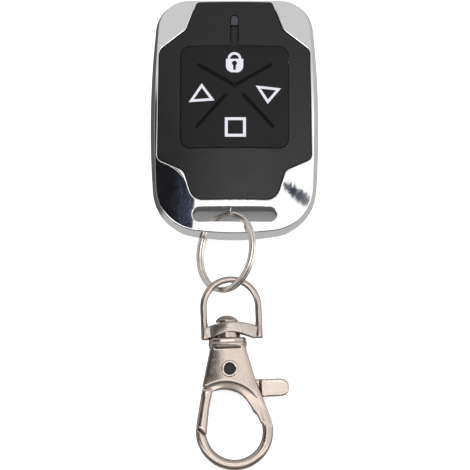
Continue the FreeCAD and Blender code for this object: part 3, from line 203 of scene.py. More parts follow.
# The same, but from the middle plane outwards for the skins, and across the piece for the others
CHEEK_SKIN = (1.0, 0.9)
LOOP_SKIN = (0.5, 0.7)
ARM_SKIN = (0.3, 0.7)
TAB_SWELLS = (7.0, 0.8)
BAND_BULGES_FROM = (-4.4, 0.9)
BAND_FEET_DROP = (4.9, 0.8)
BAND_TAPERS = (6.3, 1.0)


def node(tree, kind, inputs=None, **settings):
    """A shader node with its settings and inputs; an input is a value or another node's output."""
    made = tree.nodes.new("ShaderNode" + kind)
    for name, value in settings.items():
        setattr(made, name, value)
    for name, value in (inputs or {}).items():
        joined(tree, value, made.inputs[name])
    return made


def joined(tree, value, socket):
    """Feeds a socket with a value or with another node's output."""
    if isinstance(value, bpy.types.NodeSocket):
        tree.links.new(value, socket)
    else:
        socket.default_value = value


def maths(tree, operation, *values):
    return node(tree, "Math", dict(enumerate(values)), operation=operation).outputs[0]


def ramp(tree, value, clear, full, low_out=0.0, high_out=1.0):
    """A soft step from one value to another as the input goes from clear to full, in either direction."""
    made = node(tree, "MapRange", {"Value": value, "From Min": clear, "From Max": full,
                                   "To Min": low_out, "To Max": high_out}, interpolation_type="SMOOTHSTEP")
    return made.outputs["Result"]


def blended(tree, mask, first, second):
    """One colour where the mask is 0, the other where it is 1."""
    made = node(tree, "Mix", data_type="RGBA")
    for socket, value in (("Factor", mask), (6, first), (7, second)):
        joined(tree, value, made.inputs[socket])
    return made.outputs[2]


def patch(tree, under, over, *edges):
    """A patch of colour over another; each soft edge says along what, where it is clear and where full."""
    mask = ramp(tree, *edges[0])
    for edge in edges[1:]:
        mask = maths(tree, "MULTIPLY", mask, ramp(tree, *edge))
    return blended(tree, mask, under, over)


def piece(name, data):
    """A new object in the scene, from its mesh, lamp or lens."""
    made = bpy.data.objects.new(name, data)
    bpy.context.scene.collection.objects.link(made)
    return made


def grey(value):
    return (value, value, value, 1.0)


def darker(colour, share):
    return tuple(part * share for part in colour) + (1,)


# A metal's colour in painted crevice shade: darkened and browned by the tint above
def shaded_in_crevices(colour):
    return tuple(part * share for part, share in zip(colour, CREVICE_SHADE_TINT)) + (1,)


# Studio

def camera():
    made = piece("camera", bpy.data.cameras.new("camera"))
    tilt = math.radians(CAMERA_TILT)
    middle = FRAME_PIXELS / 2
    across = (middle - FOB_CENTRE_PIXEL[0]) / PIXELS_PER_MM * MM
    along = (FOB_CENTRE_PIXEL[1] - middle) / PIXELS_PER_MM * MM / math.cos(tilt)
    target = Vector((across, along, FOB_CENTRE_HEIGHT))
    back = Vector((0, -math.sin(tilt), math.cos(tilt)))
    made.location = target + back * CAMERA_DISTANCE
    made.rotation_euler = (tilt, 0, 0)
    view_width = FRAME_PIXELS / PIXELS_PER_MM * MM
    made.data.sensor_width = SENSOR_WIDTH
    made.data.lens = SENSOR_WIDTH * CAMERA_DISTANCE / view_width
    made.data.clip_start = 0.01
    made.data.clip_end = 20
    bpy.context.scene.camera = made


def soft_light(name, place, size, power):
    """A square lamp that looks at the keyring slot and isn't seen or mirrored itself."""
    data = bpy.data.lights.new(name, "AREA")
    data.shape = "RECTANGLE"
    data.size = data.size_y = size
    data.energy = power
    made = piece(name, data)
    made.location = place
    made.rotation_euler = (Vector((0, -0.03, 0)) - Vector(place)).to_track_quat("-Z", "Y").to_euler()
    made.visible_camera = False
    made.visible_glossy = False


def tent():
    """A white tent: what the metal mirrors is drawn by direction, and all else gets even light from above."""
    world = bpy.data.worlds.new("tent")
    bpy.context.scene.world = world
    world.use_nodes = True
    tree = world.node_tree
    tree.nodes.clear()
    direction = node(tree, "TexCoord").outputs["Generated"]
    parts = node(tree, "SeparateXYZ", {0: direction}).outputs
    x, y, z = parts["X"], parts["Y"], parts["Z"]
    mottle = node(tree, "TexNoise", {"Vector": direction, "Scale": 95.0, "Detail": 3.0, "Roughness": 0.8})
    mottle = mottle.outputs["Fac"]
    # overhead: white cloth, greyer to the far side, with the key light and a strip light left of it
    overhead = patch(tree, grey(1.3), grey(0.68), (y, 0.16, 0.46))
    overhead = patch(tree, overhead, grey(4.0),
                     (y, -0.05, -0.01), (y, 0.12, 0.06), (x, -0.12, -0.03), (x, 0.16, 0.06))
    overhead = patch(tree, overhead, grey(2.0), (x, -0.20, -0.17), (x, -0.08, -0.13), (y, -0.03, -0.06))
    # a dark stand to the left, with a sharp edge and a mottled, bluish rim, paler at its foot
    slope = maths(tree, "MULTIPLY_ADD", y, STAND_SLANT, STAND_EDGE)
    from_edge = maths(tree, "ADD", x, maths(tree, "MULTIPLY", slope, maths(tree, "MAXIMUM", z, 0.0)))
    cloth = patch(tree, (0.010, 0.010, 0.012, 1), (0.13, 0.17, 0.27, 1),
                  (from_edge, -0.16, -0.02), (mottle, 0.45, 0.66))
    cloth = patch(tree, cloth, grey(0.35), (z, 0.25, 0.0))
    overhead = patch(tree, overhead, cloth, (from_edge, 0.004, -0.006), (y, 0.38, 0.26))
    # in front: a lamp, grey cloth below it and the dark room low down
    overhead = patch(tree, overhead, grey(2.4), (y, -0.24, -0.34), (z, 0.3, 0.6))
    overhead = patch(tree, overhead, grey(0.5), (y, -0.46, -0.56), (z, 0.3, 0.6))
    overhead = patch(tree, overhead, grey(0.05), (y, -0.58, -0.68), (z, 0.7, 0.25))
    # a spotted, slanting dark thing to the right
    near_x = maths(tree, "SUBTRACT", x, 0.36)
    near_y = maths(tree, "ADD", y, maths(tree, "MULTIPLY_ADD", near_x, 0.36, 0.032))
    spot = maths(tree, "ADD", maths(tree, "POWER", maths(tree, "DIVIDE", near_x, 0.08), 2.0),
                 maths(tree, "POWER", maths(tree, "DIVIDE", near_y, 0.024), 2.0))
    spot = maths(tree, "ADD", spot, maths(tree, "MULTIPLY_ADD", mottle, -6.0, 3.0))
    overhead = patch(tree, overhead, (0.05, 0.055, 0.08, 1), (spot, 1.3, 0.8))
    # below, seen only in the metal: the grey table, with painted shade to the left, a painted shadow of the
    # fob straight down, and dark at its front edge
    below = patch(tree, grey(0.52), grey(0.11), (x, -0.08, -0.26), (y, -0.22, -0.06), (z, -0.3, -0.6))
    below = patch(tree, below, grey(0.10), (z, -0.91, -0.95))
    below = patch(tree, below, grey(0.07), (z, -0.5, -0.3), (y, -0.1, -0.3))
    mirrored_in_metal = patch(tree, below, overhead, (z, -0.05, 0.05))
    around = patch(tree, grey(0.25), grey(1.75), (z, 0.05, 0.75))
    in_metal = node(tree, "LightPath").outputs["Is Glossy Ray"]
    background = node(tree, "Background", {"Color": blended(tree, in_metal, around, mirrored_in_metal)})
    node(tree, "OutputWorld", {"Surface": background.outputs[0]})


def table():
    """The pale table, with a shaded patch under the fob."""
    mesh = bpy.data.meshes.new("floor")
    corners = [(-1, -1), (1, -1), (1, 1), (-1, 1)]
    mesh.from_pydata([(x * TABLE_REACH, y * TABLE_REACH, 0) for x, y in corners], [], [(0, 1, 2, 3)])
    floor = piece("floor", mesh)
    floor.location.z = -TABLE_DROP
    floor.visible_glossy = False
    paper, tree, shader = material("table_paper")
    place = node(tree, "SeparateXYZ", {0: in_mm(tree)}).outputs
    across = ramp(tree, maths(tree, "ABSOLUTE", place["X"]), *reversed(SHADED_HALF_WIDTH))
    along = ramp(tree, maths(tree, "ABSOLUTE", place["Y"]), *reversed(SHADED_HALF_LENGTH))
    under = maths(tree, "MULTIPLY", across, along)
    joined(tree, blended(tree, under, grey(0.93), grey(0.5)), shader["Base Color"])
    shader["Roughness"].default_value = 0.9
    shader["Specular IOR Level"].default_value = 0.0
    shader["Emission Color"].default_value = grey(1.0)
    joined(tree, maths(tree, "MULTIPLY_ADD", under, -TABLE_GLOW, TABLE_GLOW), shader["Emission Strength"])
    mesh.materials.append(paper)


def studio():
    tent()
    table()
    soft_light("tent_top", place=(0.1, 0.15, 1.1), size=1.4, power=7)
    settings = bpy.context.scene.view_settings
    settings.view_transform = "Standard"
    settings.look = "None"
    settings.exposure = 0.0


# Effects that several materials share

def effect(name, inputs, outputs):
    """An empty group with named number inputs and outputs; gives the tree, its inputs and its outputs."""
    tree = bpy.data.node_groups.new(name, "ShaderNodeTree")
    for socket, value in inputs.items():
        made = tree.interface.new_socket(socket, in_out="INPUT", socket_type="NodeSocketFloat")
        made.default_value = value
    for socket in outputs:
        tree.interface.new_socket(socket, in_out="OUTPUT", socket_type="NodeSocketFloat")
    source = tree.nodes.new("NodeGroupInput")
    sink = tree.nodes.new("NodeGroupOutput")
    return tree, source.outputs, sink.inputs


def in_mm(tree):
    """The place on the piece, in millimetres."""
    place = node(tree, "TexCoord").outputs["Object"]
    return node(tree, "VectorMath", {0: place, 1: (1000, 1000, 1000)}, operation="MULTIPLY").outputs[0]


def moulded_grain():
    """The fine even grain of a sparked mould, and its pale specks."""
    tree, given, out = effect("moulded_grain", {"Grains per mm": 6.0}, ["Height", "Speck"])
    place = in_mm(tree)
    coarse = node(tree, "TexNoise", {"Vector": place, "Scale": given["Grains per mm"], "Detail": 2.0,
                                     "Roughness": 0.6})
    tree.links.new(coarse.outputs["Fac"], out["Height"])
    fine = node(tree, "TexVoronoi", {"Vector": place, "Scale": given["Grains per mm"]})
    tree.links.new(ramp(tree, fine.outputs["Distance"], 0.35, 0.05), out["Speck"])
    return tree


def handling():
    """Faint smears from handling: a mask from 0 to 1."""
    tree, given, out = effect("handling", {"Patches per mm": 0.25}, ["Smear"])
    smear = node(tree, "TexNoise", {"Vector": in_mm(tree), "Scale": given["Patches per mm"], "Detail": 4.0,
                                    "Roughness": 0.65, "Distortion": 0.6})
    tree.links.new(ramp(tree, smear.outputs["Fac"], 0.35, 0.7), out["Smear"])
    return tree


def plating():
    """The slight unevenness of plated metal: orange peel and pits as one height."""
    tree, given, out = effect("plating", {"Peel per mm": 0.8, "Pits per mm": 2.5, "Pit share": 0.3},
                              ["Height", "Pit"])
    place = in_mm(tree)
    peel = node(tree, "TexNoise", {"Vector": place, "Scale": given["Peel per mm"], "Detail": 2.0})
    pit = node(tree, "TexVoronoi", {"Vector": place, "Scale": given["Pits per mm"]}).outputs["Distance"]
    pit = ramp(tree, pit, 0.35, 0.0)
    pitted = maths(tree, "MULTIPLY", pit, given["Pit share"])
    tree.links.new(maths(tree, "SUBTRACT", peel.outputs["Fac"], pitted), out["Height"])
    tree.links.new(pit, out["Pit"])
    return tree


def crevices():
    """Where the metal is shut in by its neighbours, for painted shade: 1 in a seam, 0 in the open."""
    tree, given, out = effect("crevices", {"Reach": 0.0012}, ["Depth"])
    open_sky = node(tree, "AmbientOcclusion", {"Distance": given["Reach"]}, samples=8).outputs["AO"]
    tree.links.new(ramp(tree, open_sky, 0.8, 0.25), out["Depth"])
    return tree


def placed(tree, group, values=None):
    """A shared effect in a material, with values for its inputs."""
    made = node(tree, "Group", node_tree=group)
    for name, value in (values or {}).items():
        made.inputs[name].default_value = value
    return made.outputs


def material(name):
    made = bpy.data.materials.new(name)
    made.use_nodes = True
    tree = made.node_tree
    return made, tree, tree.nodes["Principled BSDF"].inputs


def bumped(tree, shader, height, depth):
    """Feeds a height to the shader as relief of a real depth, in millimetres."""
    bump = node(tree, "Bump", {"Height": height, "Distance": depth * MM, "Strength": 1.0})
    tree.links.new(bump.outputs[0], shader["Normal"])


def metal(name, colour, shine, peel, depth, smears, crevice_shading=0.0, satin=0.0):
    """Plated metal, with one roughness where untouched and more where smeared, the plating's relief, and
    painted shade in its seams, dark brown.
    """
    made, tree, shader = material(name)
    shader["Metallic"].default_value = 1.0 - satin
    plate = placed(tree, EFFECTS["plating"], {"Peel per mm": peel})
    touched = placed(tree, EFFECTS["handling"])
    unshaded = blended(tree, plate["Pit"], colour + (1,), darker(colour, 0.82))
    # Painted shade: where the crevice mask finds the metal shut in, its colour turns dark brown
    shut_in = maths(tree, "MULTIPLY", placed(tree, EFFECTS["crevices"])["Depth"], crevice_shading)
    tree.links.new(blended(tree, shut_in, unshaded, shaded_in_crevices(colour)), shader["Base Color"])
    tree.links.new(ramp(tree, touched["Smear"], 0, 1, shine, shine + smears), shader["Roughness"])
    bumped(tree, shader, plate["Height"], depth)
    return made


def brushed_band(colour):
    """The bail's band: nickel with fine brush lines along it, and painted shade in its seams."""
    made, tree, shader = material("brushed_band")
    shader["Metallic"].default_value = 1.0
    stretched = node(tree, "VectorMath", {0: in_mm(tree), 1: (0.35, 9.0, 9.0)}, operation="MULTIPLY")
    lines = node(tree, "TexNoise", {"Vector": stretched.outputs[0], "Scale": 1.0, "Detail": 3.0,
                                    "Roughness": 0.7}).outputs["Fac"]
    unshaded = blended(tree, ramp(tree, lines, 0.35, 0.65), darker(colour, 0.6), colour + (1,))
    # Painted shade in the band's seams, dark brown
    shut_in = placed(tree, EFFECTS["crevices"])["Depth"]
    tree.links.new(blended(tree, shut_in, unshaded, shaded_in_crevices(colour)), shader["Base Color"])
    tree.links.new(ramp(tree, lines, 0.3, 0.7, 0.26, 0.36), shader["Roughness"])
    bumped(tree, shader, lines, 0.004)
    return made


def moulding(name, colour, roughness, grains, depth, specks, sheen=0.5):
    """Moulded plastic or rubber with a fine grain and faint pale specks."""
    made, tree, shader = material(name)
    shader["Specular IOR Level"].default_value = sheen
    grain = placed(tree, EFFECTS["moulded_grain"], {"Grains per mm": grains})
    touched = placed(tree, EFFECTS["handling"])
    pale = tuple(part + specks for part in colour) + (1,)
    tree.links.new(blended(tree, grain["Speck"], colour + (1,), pale), shader["Base Color"])
    tree.links.new(ramp(tree, touched["Smear"], 0, 1, roughness, roughness + 0.08), shader["Roughness"])
    bumped(tree, shader, grain["Height"], depth)
    return made


def smoked_lens():
    made, tree, shader = material("smoked_lens")
    grain = placed(tree, EFFECTS["moulded_grain"], {"Grains per mm": 3.0})["Height"]
    tint = blended(tree, grain, (0.012, 0.012, 0.022, 1), (0.034, 0.034, 0.06, 1))
    tree.links.new(tint, shader["Base Color"])
    tree.links.new(ramp(tree, grain, 0, 1, 0.25, 0.4), shader["Roughness"])
    return made


def finishes():
    """Every material, by the record's slot or by its own name."""
    pad = {"colour": (0.0055, 0.0053, 0.006), "roughness": 0.5, "grains": 9.0, "depth": 0.006,
           "specks": 0.003, "sheen": 0.18}
    # The clasp's castings get strong painted shade in their seams
    clasp_cast = {"shine": 0.16, "peel": 1.4, "depth": 0.009, "smears": 0.08, "crevice_shading": 0.9, "satin": 0.05}
    return {
        "chrome": metal("bright_chrome", (0.86, 0.86, 0.87), shine=0.03, peel=0.5, depth=0.0012, smears=0.03),
        "shell_plastic": moulding("matt_shell", (0.0035, 0.003, 0.004), roughness=0.34, grains=7.0,
                                  depth=0.012, specks=0.008, sheen=0.42),
        "cover_plastic": moulding("matt_cover", (0.030, 0.030, 0.031), roughness=0.5, grains=6.0,
                                  depth=0.012, specks=0.01),
        "screw_steel": metal("plain_steel", (0.55, 0.55, 0.57), shine=0.25, peel=2.0,
                             depth=0.002, smears=0.1),
        "pad_rubber": moulding("pad_rubber", **pad),
        "key_rubber": moulding("key_rubber", **pad),
        "board": moulding("board_laminate", (0.02, 0.13, 0.05), roughness=0.35, grains=2.0,
                          depth=0.004, specks=0.02),
        "component_plastic": moulding("component_plastic", (0.02, 0.02, 0.02), roughness=0.4, grains=4.0,
                                      depth=0.004, specks=0.01),
        "contact_metal": metal("tinned_contact", (0.72, 0.72, 0.70), shine=0.2, peel=2.0,
                               depth=0.002, smears=0.1),
        "lens": smoked_lens(),
        "lamp": moulding("clear_lamp", (0.8, 0.8, 0.74), roughness=0.2, grains=3.0, depth=0.001, specks=0.02),
        "battery_wrap": moulding("battery_wrap", (0.05, 0.12, 0.3), roughness=0.3, grains=1.0,
                                 depth=0.004, specks=0.02),
        "copper_wire": metal("enamelled_copper", (0.72, 0.30, 0.14), shine=0.2, peel=2.0,
                             depth=0.001, smears=0.05),
        "ceramic": moulding("ceramic", (0.5, 0.4, 0.28), roughness=0.5, grains=5.0, depth=0.003, specks=0.02),
        # The ring gets weaker painted shade where its turns meet
        "ring_nickel": metal("ring_nickel", (0.90, 0.83, 0.77), shine=0.2, peel=1.4,
                             depth=0.004, smears=0.06, crevice_shading=0.55),
        "clasp_nickel": metal("clasp_nickel", (0.47, 0.40, 0.355), **clasp_cast),
        "gate_nickel": metal("gate_nickel", (0.55, 0.465, 0.415), **clasp_cast),
        # The rivet gets strong painted shade in its seams
        "rivet_nickel": metal("rivet_nickel", (0.62, 0.56, 0.51), shine=0.16, peel=1.6,
                              depth=0.004, smears=0.08, crevice_shading=0.9),
        "brushed_band": brushed_band((0.60, 0.53, 0.485)),
        # Near-black strips laid in the gaps as painted shade
        "painted_gap_shade": moulding("painted_gap_shade", (0.002, 0.002, 0.002), roughness=0.7, grains=6.0,
                               depth=0.002, specks=0.0, sheen=0.02),
        # Near-black discs for painted shade in the rivet's hole
        "rivet_core": moulding("rivet_core", (0.02, 0.016, 0.015), roughness=0.6, grains=4.0,
                               depth=0.02, specks=0.01),
        "sign_ink": moulding("sign_ink", (0.44, 0.44, 0.485), roughness=0.5, grains=8.0,
                             depth=0.002, specks=0.02, sheen=0.3),
    }


# Pieces

def clamped(value):
    return max(0.0, min(1.0, value))


def smooth_step(value):
    value = clamped(value)
    return value * value * (3 - 2 * value)


def rising(value, begins, run):
    """0 up to where a change begins, and 1 from a run beyond it."""
    return smooth_step((value - begins) / run)


def hump(value, middle, half):
    """A round hump: 1 in its middle and 0 from its ends on."""
    return max(0.0, 1 - ((value - middle) / half) ** 2)


def dome(x, y, lift=0.0):
    """Height of the fob's face at a place, raised or lowered square to it."""
    across = FACE_HEIGHT - DOME_ACROSS + math.sqrt((DOME_ACROSS + lift) ** 2 - x ** 2)
    axis = FACE_HEIGHT - DOME_ALONG
    return axis + math.sqrt((across - axis) ** 2 - y ** 2)


def dress(made, slot, body, nodes=(), smooth=True, finish=None):
    """Gives a new piece its material, by its finish or else its slot, puts it on the body it rides on and
    hides the nodes it stands for.
    """
    made.data.materials.clear()
    made.data.materials.append(FINISHES[finish or slot])
    for face in made.data.polygons:
        face.use_smooth = smooth
    if nodes:
        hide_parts(*nodes)
    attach(made, body)
    return made


def creased(made, angle):
    """Keeps the edges crisp where faces meet at more than an angle, in degrees."""
    made.data.set_sharp_from_angle(angle=math.radians(angle))


@contextmanager
def reshaped(made):
    """Opens the shape of a piece, and puts it back after the changes."""
    shape = bmesh.new()
    shape.from_mesh(made.data)
    yield shape
    shape.to_mesh(made.data)
    shape.free()


def from_bmesh(name, shape):
    """A new object from a shape in millimetres."""
    bmesh.ops.scale(shape, vec=(MM, MM, MM), verts=shape.verts)
    mesh = bpy.data.meshes.new(name)
    shape.to_mesh(mesh)
    shape.free()
    return piece(name, mesh)


def from_loops(name, loops):
    """A skin through closed loops of equal length, given as lists of points."""
    count = len(loops[0])
    faces = []
    for low in range(0, (len(loops) - 1) * count, count):
        high = low + count
        faces += [(low + n, low + (n + 1) % count, high + (n + 1) % count, high + n) for n in range(count)]
    mesh = bpy.data.meshes.new(name)
    mesh.from_pydata([tuple(part * MM for part in point) for loop in loops for point in loop], [], faces)
    return piece(name, mesh)


def capped(made):
    """Closes the open ends of a skin."""
    with reshaped(made) as shape:
        bmesh.ops.holes_fill(shape, edges=[edge for edge in shape.edges if edge.is_boundary])
        bmesh.ops.recalc_face_normals(shape, faces=shape.faces)
    return made


def turned(name, place, profile, slot, body, nodes=(), count=64):
    """A piece turned about the Z axis of a place, from (radius, height) points."""
    loops = []
    for radius, height in profile:
        angles = [2 * math.pi * n / count for n in range(count)]
        loops.append([place @ Vector((radius * math.cos(turn), radius * math.sin(turn), height))
                      for turn in angles])
    made = dress(from_loops(name, loops), slot, body, nodes)
    with reshaped(made) as shape:
        bmesh.ops.remove_doubles(shape, verts=shape.verts, dist=1e-7)
        bmesh.ops.recalc_face_normals(shape, faces=shape.faces)
    creased(made, 50)


def arc_points(centre, radius, start, end, count):
    """Points along an arc between two angles, in degrees."""
    angles = [math.radians(start + (end - start) * n / count) for n in range(count + 1)]
    return [(centre[0] + radius * math.cos(turn), centre[1] + radius * math.sin(turn)) for turn in angles]


def rounded_box(left, right, low, high, radius, parts):
    """The section of a flat bar with round corners, as (across, up) points."""
    points = []
    for side, top, start in ((1, 1, 0), (-1, 1, 90), (-1, -1, 180), (1, -1, 270)):
        for n in range(parts + 1):
            turn = math.radians(start + 90 * n / parts)
            points.append(((right if side > 0 else left) - side * radius + radius * math.cos(turn),
                           (high if top > 0 else low) - top * radius + radius * math.sin(turn)))
    return points


def loop_round(corners, parts=14, turns=8):
    """A closed plan through (x, y, radius) corners: round corners, and sides in equal parts."""
    spots = [(Vector((x, y)), radius) for x, y, radius in corners]
    points = []
    for n, (corner, radius) in enumerate(spots):
        back = (spots[n - 1][0] - corner).normalized()
        ahead = (spots[(n + 1) % len(spots)][0] - corner).normalized()
        half = math.acos(max(-1, min(1, back.dot(ahead)))) / 2
        centre = corner + (back + ahead).normalized() * radius / math.sin(half)
        first, last = (corner + way * radius / math.tan(half) - centre for way in (back, ahead))
        turn = first.angle_signed(last)
        bend = [centre + Matrix.Rotation(-turn * k / turns, 2) @ first for k in range(turns + 1)]
        if points:
            last = points[-1]
            points += [last.lerp(bend[0], k / parts) for k in range(1, parts)]
        points += bend
    last = points[-1]
    points += [last.lerp(points[0], k / parts) for k in range(1, parts)]
    return points


def mirrored(right):
    return right + [(-x, y, radius) for x, y, radius in reversed(right)]


def pad_plan(inset):
    (x, top), (_, low) = PAD_CORNERS
    radius = PAD_RADIUS - inset
    return loop_round(mirrored([(x - inset, top - inset, radius), (x - inset, low + inset, radius)]))


def shell_plan(grow, skirt_root_radius):
    """The black front's outline, let out by a distance; its corners are given as (x, y, radius)."""
    neck = (8.9 + grow, 28.1 + grow, 0.8 + grow)
    neck_root = (11.5 + grow, 21.0 + grow, 2.0 - grow)
    shoulder = (BODY_HALF_WIDTH - 2.25 + grow, 16.1 + grow, 2.6 + grow)
    waist = (BODY_HALF_WIDTH - 1.9 + grow, -10.4 - grow, 1.6 + grow)
    skirt_root = (12.0 + grow, -13.4 - grow, skirt_root_radius - grow)
    skirt = (9.8 + grow, -20.5 - grow, 3.2 + grow)
    return loop_round(mirrored([neck, neck_root, shoulder, waist, skirt_root, skirt]))


def groove_at(x, y):
    """Depth of the cross of grooves at a place: arms with a rounded bottom and soft shoulders."""
    deepest = 0.0
    for start, reach, angle in GROOVES:
        along = Vector((math.cos(math.radians(angle)), math.sin(math.radians(angle))))
        place = Vector((x, y - CROSS))
        on_line = along * max(start, min(reach, place.dot(along)))
        away = (place - on_line).length / GROOVE_HALF_WIDTH
        if away < 1:
            deepest = max(deepest, GROOVE_DEPTH * (0.5 + 0.5 * math.cos(math.pi * away)))
    return deepest


def pad_rim(edge_parts=4):
    """The rim of the rubber pad: a rounded outer edge, then flush with the keys."""
    def ring(inset, drop=0.0):
        return [(p.x, p.y, dome(p.x, p.y, PAD_RAISE) - drop) for p in pad_plan(inset)]

    def foot(inset):
        return [(p.x, p.y, RIM_FOOT) for p in pad_plan(inset)]

    loops = [foot(0), ring(0, RIM_EDGE)]
    for n in range(1, edge_parts + 1):
        turn = math.radians(90 * n / edge_parts)
        loops.append(ring(RIM_EDGE * (1 - math.cos(turn)), RIM_EDGE * (1 - math.sin(turn))))
    loops += [ring(RIM_WIDTH), foot(RIM_WIDTH)]
    creased(dress(from_loops("pad_rim", loops), "pad_rubber", "fob", ["keypad_membrane"]), 50)


def split(shape, point, normal, keep_both=False):
    """Cuts a flat shape along a line; what lies beyond it goes, unless both sides are kept."""
    everything = shape.verts[:] + shape.edges[:] + shape.faces[:]
    bmesh.ops.bisect_plane(shape, geom=everything, dist=1e-6, plane_co=point, plane_no=normal,
                           clear_outer=not keep_both)


def key_piece(name, from_angle, to_angle):
    """One key: its sector of the pad's face between two of the seams that cross, with walls to its foot."""
    (reach, top), (_, low) = PAD_CORNERS
    shape = bmesh.new()
    wide, tall = 2 * reach, top - low
    bmesh.ops.create_grid(shape, x_segments=round(wide / GRID_STEP), y_segments=round(tall / GRID_STEP),
                          size=0.5)
    bmesh.ops.scale(shape, vec=(wide, tall, 1), verts=shape.verts)
    bmesh.ops.translate(shape, vec=(0, (top + low) / 2, 0), verts=shape.verts)
    for angle, turn in ((from_angle, -90), (to_angle, 90)):
        outward = Vector((math.cos(math.radians(angle + turn)), math.sin(math.radians(angle + turn))))
        split(shape, (*(Vector((0, CROSS)) - outward * SEAM / 2), 0), (*outward, 0))
    plan = pad_plan(RIM_WIDTH + SEAM)
    for n, point in enumerate(plan):
        side = plan[(n + 1) % len(plan)] - point
        outward = Vector((side.y, -side.x)).normalized()
        if outward.dot(point - Vector((0, (top + low) / 2))) < 0:
            outward = -outward
        if max((vert.co.xy - point).dot(outward) for vert in shape.verts) > 1e-5:
            split(shape, (*point, 0), (*outward, 0))
    edge = [e for e in shape.edges if e.is_boundary]
    for vert in shape.verts:
        vert.co.z = dome(vert.co.x, vert.co.y, PAD_RAISE) - groove_at(vert.co.x, vert.co.y)
    wall = bmesh.ops.extrude_edge_only(shape, edges=edge)["geom"]
    for vert in wall:
        if isinstance(vert, bmesh.types.BMVert):
            vert.co.z = KEY_FOOT
    bmesh.ops.recalc_face_normals(shape, faces=shape.faces)
    made = dress(from_bmesh(name + "_face", shape), "key_rubber", name + "_key", [name + "_button"])
    creased(made, 40)


def printed_sign(name, body, outlines):
    """White ink on a key: outlines in plan, filled between them, laid on the dome as a thin layer."""
    shape = bmesh.new()
    for outline in outlines:
        corners = [shape.verts.new((*point, 0)) for point in outline]
        for n, corner in enumerate(corners):
            shape.edges.new((corners[n - 1], corner))
    bmesh.ops.triangle_fill(shape, edges=shape.edges[:], use_beauty=True, use_dissolve=False,
                            normal=(0, 0, 1))
    for way in (Vector((1, 0, 0)), Vector((0, 1, 0))):
        values = [vert.co.dot(way) for vert in shape.verts]
        cut = min(values) + INK_STEP
        while cut < max(values):
            split(shape, way * cut, way, keep_both=True)
            cut += INK_STEP
    raised = bmesh.ops.extrude_face_region(shape, geom=shape.faces[:])["geom"]
    top = [vert for vert in raised if isinstance(vert, bmesh.types.BMVert)]
    bmesh.ops.translate(shape, vec=(0, 0, INK), verts=top)
    for vert in shape.verts:
        vert.co.z += dome(vert.co.x, vert.co.y, PAD_RAISE)
    bmesh.ops.recalc_face_normals(shape, faces=shape.faces)
    dress(from_bmesh(name, shape), "sign_ink", body, smooth=False)


def drawn_in(corners, width):
    """The outline of straight-sided corners, and the same drawn in by a line's width."""
    spots = [Vector(corner) for corner in corners]
    middle = sum(spots, Vector((0, 0))) / len(spots)
    inner = []
    for n, corner in enumerate(spots):
        back = (spots[n - 1] - corner).normalized()
        ahead = (spots[(n + 1) % len(spots)] - corner).normalized()
        half = back.angle(ahead) / 2
        way = (back + ahead).normalized()
        if way.dot(middle - corner) < 0:
            way = -way
        inner.append(tuple(corner + way * width / math.sin(half)))
    return [list(corners), inner]


def signs():
    """Padlock, up, down and square, as printed on the four keys."""
    printed_sign("up_sign", "up_key", drawn_in([(-7.84, 7.46), (-10.93, 2.86), (-4.75, 3.16)], TRIANGLE_LINE))
    printed_sign("down_sign", "down_key", drawn_in([(5.05, 6.85), (11.1, 6.28), (7.92, 2.36)], TRIANGLE_LINE))
    printed_sign("square_sign", "stop_key",
                 drawn_in([(-2.3, -1.0), (2.73, -1.0), (2.73, -5.73), (-2.3, -5.73)], SQUARE_LINE))
    foot, shoulder = 10.05, 13.5
    bow_foot = shoulder - 0.1
    body = [(-2.05, shoulder), (2.1, shoulder)]
    body += arc_points((0.4, foot + 1.7), 1.7, 0, -80, 8)
    body += arc_points((-0.4, foot + 1.7), 1.65, -100, -180, 8)
    keyhole = arc_points((0, 12.4), 0.62, -60, 240, 18) + [(-0.31, 10.75), (0.31, 10.75)]
    printed_sign("padlock_sign", "lock_key", [body, keyhole])
    bow = arc_points((0, 13.55), 1.62, 0, 180, 20) + [(-1.62, bow_foot), (-1.05, bow_foot)]
    bow += arc_points((0, 13.5), 1.05, 180, 0, 16) + [(1.05, bow_foot), (1.62, bow_foot)]
    printed_sign("padlock_bow", "lock_key", [bow])


def shell_lip():
    """The casting's bright bead round the black front, and a near-black strip over the gap inside it as
    painted shade; both run out at the neck.
    """
    def ring(grow, rise, skirt_root_radius=SKIRT_ROOT_RADIUS):
        points = []
        for p in shell_plan(grow, skirt_root_radius):
            sunk = LIP_SINKS_BY * clamped((p.y - LIP_SINKS_FROM) / LIP_SINKS_OVER)
            points.append((p.x, p.y, dome(p.x, p.y, -FRAME_DROP) + rise - sunk))
        return points

    bead = [ring(0.44, -0.55, 9.4), ring(0.44, -0.02, 9.4), ring(0.41, 0.05, 9.0), ring(0.36, 0.06, 8.0),
            ring(0.26, 0.02), ring(0.21, -0.03), ring(0.20, -0.5)]
    creased(dress(from_loops("shell_lip", bead), "chrome", "fob"), 50)
    gap = [ring(0.22, -0.4), ring(0.22, 0.01), ring(0.0, 0.02), ring(0.0, -0.4)]
    dress(from_loops("shell_seam", gap), "shell_plastic", "fob", smooth=False, finish="painted_gap_shade")


def lamp_groove_edge():
    """A near-black strip as painted shade in the gap round the lamp window and down both sides of its groove.
    """
    sides = [LAMP_GROOVE_START + LAMP_GROOVE_STEP * n for n in range(LAMP_GROOVE_PARTS)]
    path = [(-LAMP_HALF, y) for y in sides] + arc_points((0, LAMP_END), LAMP_HALF, 180, 0, 12)
    path += [(LAMP_HALF, y) for y in reversed(sides)]
    loops = []
    for x, y in path:
        spot = Vector((x, y))
        out = (spot - Vector((0, min(y, LAMP_END)))).normalized() * GAP_HALF
        near, far = spot - out, spot + out
        top, foot = dome(x, y) + GAP_RISE, dome(x, y) - GAP_DEPTH
        loops.append([(*near, foot), (*near, top), (*far, top), (*far, foot)])
    made = capped(from_loops("lamp_groove_edge", loops))
    dress(made, "shell_plastic", "fob", smooth=False, finish="painted_gap_shade")


